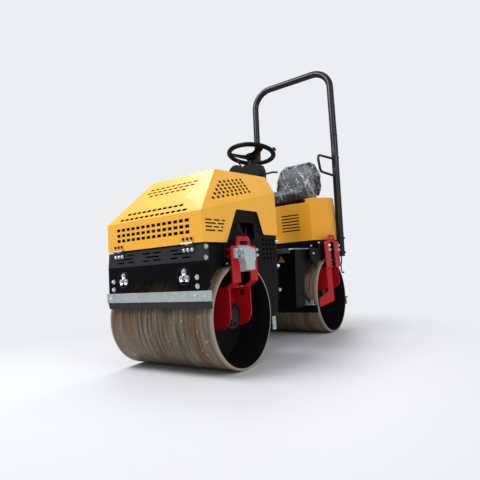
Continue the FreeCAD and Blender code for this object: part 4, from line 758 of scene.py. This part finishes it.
wheel_forms += [placed(form, spot, wheel_axis)
                for form, spot in ((hub, wheel_at), (stem, knob_at), (ball, knob_at))]
wheel = piece("moulded_steering_wheel", wheel_forms, wheel_rubber, "steering_wheel", 40)
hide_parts("steering_wheel")
print("wheel vertices", len(wheel.data.vertices))

# %% [markdown]
# ## Tread plate
# The operator stands on aluminium tread plate. Its raised lozenges lie crosswise in turn, about 28 mm
# apart and 1.5 mm high. Each one is a low spindle with sloped sides, and only the part of the floor that
# is open gets them.

# %% Lozenges of the floor
tread_alloy = metal("rolled_aluminium_tread_plate", "#C9CCCE", "#8E9092", (0.34, 0.5), 5.0, relief=0.06,
                    cells=False)
lozenge = lofted([[Vector((x, y, z)) for x, y in ((-long, 0), (0, -wide), (long, 0), (0, wide))]
                  for long, wide, z in ((13, 4.2, 0), (8, 1.8, 1.5))])
platform_top = reach("platform", HIGH, Z)
pitch = 28.0
forms = []
for i in range(16):
    for j in range(-11, 12):
        x, y = -74 - i * pitch, j * pitch
        under_console = x > -225 and abs(y) < 108
        beside_front = x > -280 and abs(y) > 325
        if not under_console and not beside_front and abs(y) < 342:
            spin = math.radians(45 if (i + j) % 2 else -45)
            forms.append(placed(lozenge, at(x, y, platform_top), spin=spin))
piece("tread_lozenges", forms, tread_alloy, "rear_frame", smooth=0)
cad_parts["platform"].data.materials[0] = tread_alloy
print("lozenges", len(forms))

# %% [markdown]
# ## Wires, rods and plates
# Thin round stock is a curve with a round bevel, as in the bent stay ahead of each front bracket and the
# hook under each foot of the hoop. The warning triangle on the box is left blank.

# %% Rods and the blank triangle
def rod(name, points, radius, finish, body, order=3):
    """A round bar or hose along a smooth curve through the region of its points, in millimetres."""
    line = bpy.data.curves.new(name, "CURVE")
    line.dimensions = "3D"
    line.bevel_depth = radius * MM
    line.bevel_resolution = 4
    line.use_fill_caps = True
    spline = line.splines.new("NURBS")
    spline.points.add(len(points) - 1)
    for point, place in zip(spline.points, points):
        point.co = (*at(*place), 1.0)
    spline.order_u = order
    spline.use_endpoint_u = True
    spline.resolution_u = 10
    item = shown(name, line)
    line.materials.append(finish)
    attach(item, body)


# The stay's run: x, how far out from the side plate, z
stay_run = ((655, -2, 655), (655, 18, 656), (725, 20, 652), (741, 20, 646), (744, 20, 620), (744, 18, 578),
            (744, -2, 576))
hook_run = ((-836, 394, 574), (-826, 398, 530), (-786, 402, 505), (-776, 403, 460), (-800, 404, 424),
            (-834, 403, 440))
for side, name in ((1, "left"), (-1, "right")):
    rod("bent_stay_" + name, [(x, side * (side_face + out), z) for x, out, z in stay_run], 3.2, black_coat,
        "front_frame")
    rod("tie_down_hook_" + name, [(x, side * y, z) for x, y, z in hook_run], 5.0, black_coat, "rear_frame",
        4)
wall_x = reach("rear_box", HIGH, X)
triangle = slab([(204, 549), (258, 549), (231, 598)], wall_x, wall_x + 0.6, "yz")
piece("blank_warning_triangle", [triangle], blank_plate, "rear_frame", smooth=0)

# %% [markdown]
# ## Under the hood and on the brackets
# With the hood tipped forward a few things sit round the engine: cooling fins on its block, an air filter,
# a battery and hoses. They are guessed, because the photograph shows only a dark gap. On the brackets, the
# junction boxes stand on screws with spacer sleeves, a short chain hangs above each front bracket, and a
# galvanised angle closes the end of the beam ahead of the rear drum.

# %% Engine dress, chains and angles
deck_z = reach("engine_deck", HIGH, Z)
engine_back, engine_front = (reach("engine_block", end, X) for end in (LOW, HIGH))
engine_top = reach("engine_block", HIGH, Z)
fins = [block_form((engine_front - 0.5, -150, z), (engine_front + 16, 150, z + 5))
        for z in (deck_z + 110 + 17 * i for i in range(12))]
fins += [block_form((engine_back + 30, y - 2, engine_top - 0.5), (engine_front - 40, y + 2, engine_top + 14))
         for y in range(-150, -20, 16)]
piece("engine_cooling_fins", fins, engine_coat, "front_frame", bevel=0.8)
canister = turned([(52, -105), (62, -103), (64, -96), (64, 60), (67, 62), (67, 70), (64, 72), (64, 96),
                   (58, 104), (22, 106), (20, 118), (9, 120)], 40)
piece("air_filter_canister", [placed(canister, at(500, 60, engine_top + 40), LEFT)], console_abs,
      "front_frame", smooth=40)
battery = [block_form((690, -306, deck_z), (840, -96, deck_z + 150)),
           block_form((686, -310, deck_z + 150), (844, -92, deck_z + 166)),
           block_form((700, -290, deck_z + 165.5), (830, -112, deck_z + 172))]
battery += [placed(turned([(9, 0), (8, 20), (6.5, 21)], 16), at(815, y, deck_z + 165)) for y in (-270, -130)]
piece("starter_battery", battery, console_abs, "front_frame", bevel=2.5)
# Hoses and cable: radius, and the run with its height above the deck
above_filter = engine_top - deck_z + 40
hoses = {"battery_cable": (5.5, ((815, -130, 182), (812, -110, 205), (780, -60, 190), (700, -40, 90),
                                 (640, -60, 60), (611, -70, 60))),
         "intake_hose": (19, ((560, 60, above_filter), (640, 40, above_filter - 20), (668, 20, 250),
                              (650, 10, 160), (611, 0, 150)))}
for number, (x, lean) in enumerate(((535, -14), (500, 8), (448, 20)), 1):
    hoses[f"hydraulic_hose_{number}"] = (9, ((x, 318, 1), (x + lean, 322, 90), (x - lean, 316, 190),
                                             (x - 30, 270, 240), (x - 30, 188, 240)))
for name, (radius, run) in hoses.items():
    rod(name, [(x, y, deck_z + z) for x, y, z in run], radius, wheel_rubber, "front_frame", 4)

sleeve = turned([(7.5, 0), (7.5, 23), (6.9, 23.6)], 20)
sleeves = [placed(sleeve, at(box_x + across, side * (front_side + 14.0), height), (0, side, 0))
           for side in SIDES for across in (-76, 76) for height in (596, 626)]
piece("box_spacer_sleeves", sleeves, zinc_bolt, "front_frame")


def chain_link(spot, along, across, long=9.6, wide=5.0, wire=1.7, steps=28):
    """One oval link of round wire, lying in the plane of its two directions."""
    along, across = Vector(along).normalized(), Vector(across).normalized()
    face = along.cross(across)
    centre = [spot + (along * ((long - wide) * max(-1.0, min(1.0, 3 * math.cos(t))) + wide * math.cos(t))
                      + across * wide * math.sin(t)) * MM
              for t in (2 * math.pi * i / steps for i in range(steps))]
    rings = []
    for i in range(steps):
        out = face.cross((centre[(i + 1) % steps] - centre[i - 1]).normalized())
        rings.append([centre[i] + (out * math.cos(turn) + face * math.sin(turn)) * wire * MM
                      for turn in (math.pi * j / 4 for j in range(8))])
    return lofted(rings, closed=True)


# Near-black plates 3 to 5 mm inside the rear body's louvre slots are painted shade for the slots' depth.
louvre_x = reach("rear_body_centre", HIGH, X)
louvre_shadows = [block_form((louvre_x - 5.0, y0 + 0.5, base + 0.5), (louvre_x - 3.2, y1 - 0.5, base + 9.5))
        for base in (791 + 24.5 * row for row in range(6)) for y0, y1 in ((38, 198), (-198, -38))]
piece("body_louvre_painted_shadows", louvre_shadows, shade_fleece, "rear_frame", smooth=0)

# The hoop's posts lean back one in ten from their feet
post_bolts = mirrored([((-835 - 0.1 * (z - 570), y, z), LEFT, radius)
                       for y, z, radius in ((423, 716, 8), (423, 598, 8), (423.4, 1412, 4.5))])
piece("hoop_post_bolts", bolt_forms(post_bolts), dark_bolt, "rear_frame")
collar = turned([(30.0, -3.5), (31.4, -2.5), (32.0, 0), (31.4, 2.5), (30.0, 3.5)], 48)
collars = [placed(collar, at(-937.5, side * 394, 1621), (-0.063, 0, 0.998)) for side in SIDES]
piece("hoop_weld_collars", collars, hoop_coat, "rear_frame", smooth=40)
chains = []
links = 5
for side in SIDES:
    start, end = at(577, side * 394, 706), at(598, side * 357, 768)
    along = end - start
    level = Vector((0, 0, 1)).cross(along)
    chains += [chain_link(start + along * ((i + 0.5) / links), along, level if i % 2 else along.cross(level))
               for i in range(links)]
    chains.append(placed(turned([(7, -3), (7.5, 0), (7, 5), (3, 7)], 12), end, (0, side, 0)))
piece("lifting_lug_chains", chains, dark_bolt, "front_frame", smooth=60)

angles, ends = [], []
for side in SIDES:
    angles += [block_form((-300, side * 312, 236), (-262, side * 376, 240)),
               block_form((-266, side * 312, 236), (-262, side * 376, 272)),
               placed(turned([(9, 0), (9, 5), (6, 6), (6, 16), (5, 17)], 6), at(-280, side * 330, 240))]
    ends.append(block_form((286, side * 376.8, 160), (324, side * 380, 236)))
    ends += [placed(turned([(8, 0), (8, 5), (6, 6), (5, 9)], 6), at(305, side * 380, height), (0, side, 0))
             for height in (180, 216)]
piece("beam_end_angles", angles, galvanised, "rear_frame", bevel=0.6)
piece("front_beam_end_plates", ends, galvanised, "front_frame", bevel=0.6)
print("fins", len(fins), "chain pieces", len(chains))

# %% [markdown]
# ## Cushion and backrest
# Both pads are foam under black PVC leathercloth. Starting from the CAD's plain blocks, a voxel remesh
# gives an even skin, and Blender's cloth swells it under light pressure until it crowns like foam under a
# tight cover. How far a point may move is capped.

# %% Pads
VOXEL = INSET = 7 * MM
SWELL_FRAMES, SWELL_PRESSURE, SWELL_CAP = 20, 4.0, 14 * MM


def baked(item):
    """The mesh that an object's modifiers make, without the modifiers."""
    mesh = bpy.data.meshes.new_from_object(item.evaluated_get(bpy.context.evaluated_depsgraph_get()))
    item.modifiers.clear()
    return mesh


def pad_mesh(name, node):
    """A copy of the CAD block, a little smaller, with an even skin and soft corners."""
    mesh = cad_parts[node].data.copy()
    mesh.name = name
    item = shown(name, mesh)
    centre = middle(node)
    size = Vector(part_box(node)[HIGH]) - Vector(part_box(node)[LOW])
    for vert in mesh.vertices:
        offset = vert.co - centre
        vert.co = centre + Vector([offset[i] * (1 - 2 * INSET / size[i]) for i in (X, Y, Z)])
    weld = item.modifiers.new("weld", "WELD")
    weld.merge_threshold = 0.1 * MM
    remesh = item.modifiers.new("skin", "REMESH")
    remesh.mode = "VOXEL"
    remesh.voxel_size = VOXEL
    round_off = item.modifiers.new("round", "SMOOTH")
    round_off.factor = 0.6
    round_off.iterations = 26
    item.data = baked(item)
    item.data.name = name
    return item


def positions(mesh):
    flat = np.empty(len(mesh.vertices) * 3)
    mesh.vertices.foreach_get("co", flat)
    return flat.reshape(-1, 3)


def swell(item):
    """Blows the skin up as cloth without gravity; no point moves further than the cap."""
    start = positions(item.data)
    cloth = item.modifiers.new("swell", "CLOTH")
    cloth.settings.use_pressure = True
    cloth.settings.uniform_pressure_force = SWELL_PRESSURE
    cloth.settings.effector_weights.gravity = 0
    cloth.settings.quality = 5
    cloth.point_cache.frame_start = 1
    cloth.point_cache.frame_end = SWELL_FRAMES
    for number in range(1, SWELL_FRAMES + 1):
        scene.frame_set(number)
    swollen = baked(item)
    move = positions(swollen) - start
    bpy.data.meshes.remove(swollen)
    length = np.linalg.norm(move, axis=1, keepdims=True)
    move *= np.minimum(1.0, SWELL_CAP / np.maximum(length, 1e-9))
    item.data.vertices.foreach_set("co", (start + move).ravel())
    item.data.update()
    scene.frame_set(1)
    print(item.name, "moved at most", round(float(length.max()) / MM, 1), "mm before the cap")


def kept_inside(item, node):
    """Presses points that left the CAD block's box back to it, as a cover pressed on its neighbours."""
    low, high = (np.array(corner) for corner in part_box(node))
    item.data.vertices.foreach_set("co", np.clip(positions(item.data), low, high).ravel())
    item.data.update()


pads = {}
for name, node in (("seat_cushion_cover", "cushion_pad"), ("backrest_cover", "backrest_pad")):
    pad = pad_mesh(name, node)
    swell(pad)
    kept_inside(pad, node)
    pad.data.materials.clear()
    pad.data.materials.append(leathercloth)
    smooth_below(pad, 60)
    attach(pad, "rear_frame")
    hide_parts(node)
    pads[name] = pad
    print(name, len(pad.data.vertices), "vertices")

# %% [markdown]
# ## Polythene wrap
# The seat is still in its shipping bag: clear film, a fraction of a millimetre thick, gathered in sharp
# creases over the black pad. The bag is a second skin a few millimetres outside the pad, crumpled by
# ridged noise, whose sharp crests run like creases in film. The film shows mostly by what it reflects,
# so it is glossy and nearly clear. Along the creases it turns a milky bluish white: partly the film's own
# whitening, partly a painted highlight for the light the creases catch.

# %% Wrap
film, tree, shader, place = surface("clear_polythene_film", Roughness=0.18, IOR=1.5)


def crease_highlight_lines(size, turn, width):
    """Painted highlight lines, partly the film's own whitening, where a stretched noise passes its middle
    value; size is a fold's extent in metres.
    """
    laid = add(tree, "Mapping", {0: place}, {"Rotation": turn, "Scale": size}, vector_type="TEXTURE")
    waves = add(tree, "TexNoise", {0: laid},
                {"Scale": 1.0, "Detail": 1.0, "Roughness": 0.4, "Distortion": 0.3})
    off = add(tree, "Math", {0: waves}, {1: 0.5}, operation="SUBTRACT")
    near = add(tree, "Math", {0: off}, operation="ABSOLUTE")
    return add(tree, "MapRange", {0: near}, limits(0.0, width, 1.0, 0.0))


folds = crease_highlight_lines((0.15, 0.065, 0.42), (0.5, 0.0, 0.2), 0.06)
for size, turn, width in (((0.12, 0.055, 0.36), (-0.55, 0.3, 0.0), 0.055),
                          ((0.09, 0.042, 0.28), (0.2, 0.1, 0.4), 0.045)):
    folds = add(tree, "Math", {0: folds, 1: crease_highlight_lines(size, turn, width)}, operation="MAXIMUM")
patch = add(tree, "TexNoise", {0: place}, {"Scale": 1 / 0.11, "Detail": 3.0})
strength = add(tree, "MapRange", {0: patch}, limits(0.4, 0.58, 0.35, 1.0))
# Along the creases the film turns milky bluish white: partly its own whitening, partly a painted highlight.
crease_milk_and_highlight = add(tree, "Math", {0: folds, 1: strength}, operation="MULTIPLY")
clear = add(tree, "MapRange", {0: crease_milk_and_highlight}, limits(0.0, 1.0, 0.04, 0.78))
tint = add(tree, "Mix", {0: crease_milk_and_highlight}, {6: "#33373D", 7: "#B2BBC8"})
bump = add(tree, "Bump", {"Height": folds}, {"Strength": 0.9, "Distance": 4 * MM})
feed(shader, {"Alpha": clear, "Base Color": tint, "Normal": bump})


def wrapped(pad, name, crumple, lift=1.5):
    mesh = pad.data.copy()
    mesh.name = name
    item = shown(name, mesh)
    for vert in mesh.vertices:
        p = vert.co
        pull = Vector((p.x * 12 + p.z * 4, p.y * 19 - p.z * 6, p.z * 4.5 - p.x * 3))
        ridge, fine = (max(0.0, 1 - abs(noise.noise(pull * scale)) * 2.6) ** 2 for scale in (1.0, 2.1))
        vert.co = p + vert.normal * (lift + crumple * (ridge + 0.1 * fine)) * MM
    mesh.materials.clear()
    mesh.materials.append(film)
    smooth_below(item, 60)
    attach(item, "rear_frame")


wrapped(pads["seat_cushion_cover"], "cushion_polythene_wrap", 7.0)
wrapped(pads["backrest_cover"], "backrest_polythene_wrap", 8.0)
print("wraps on")
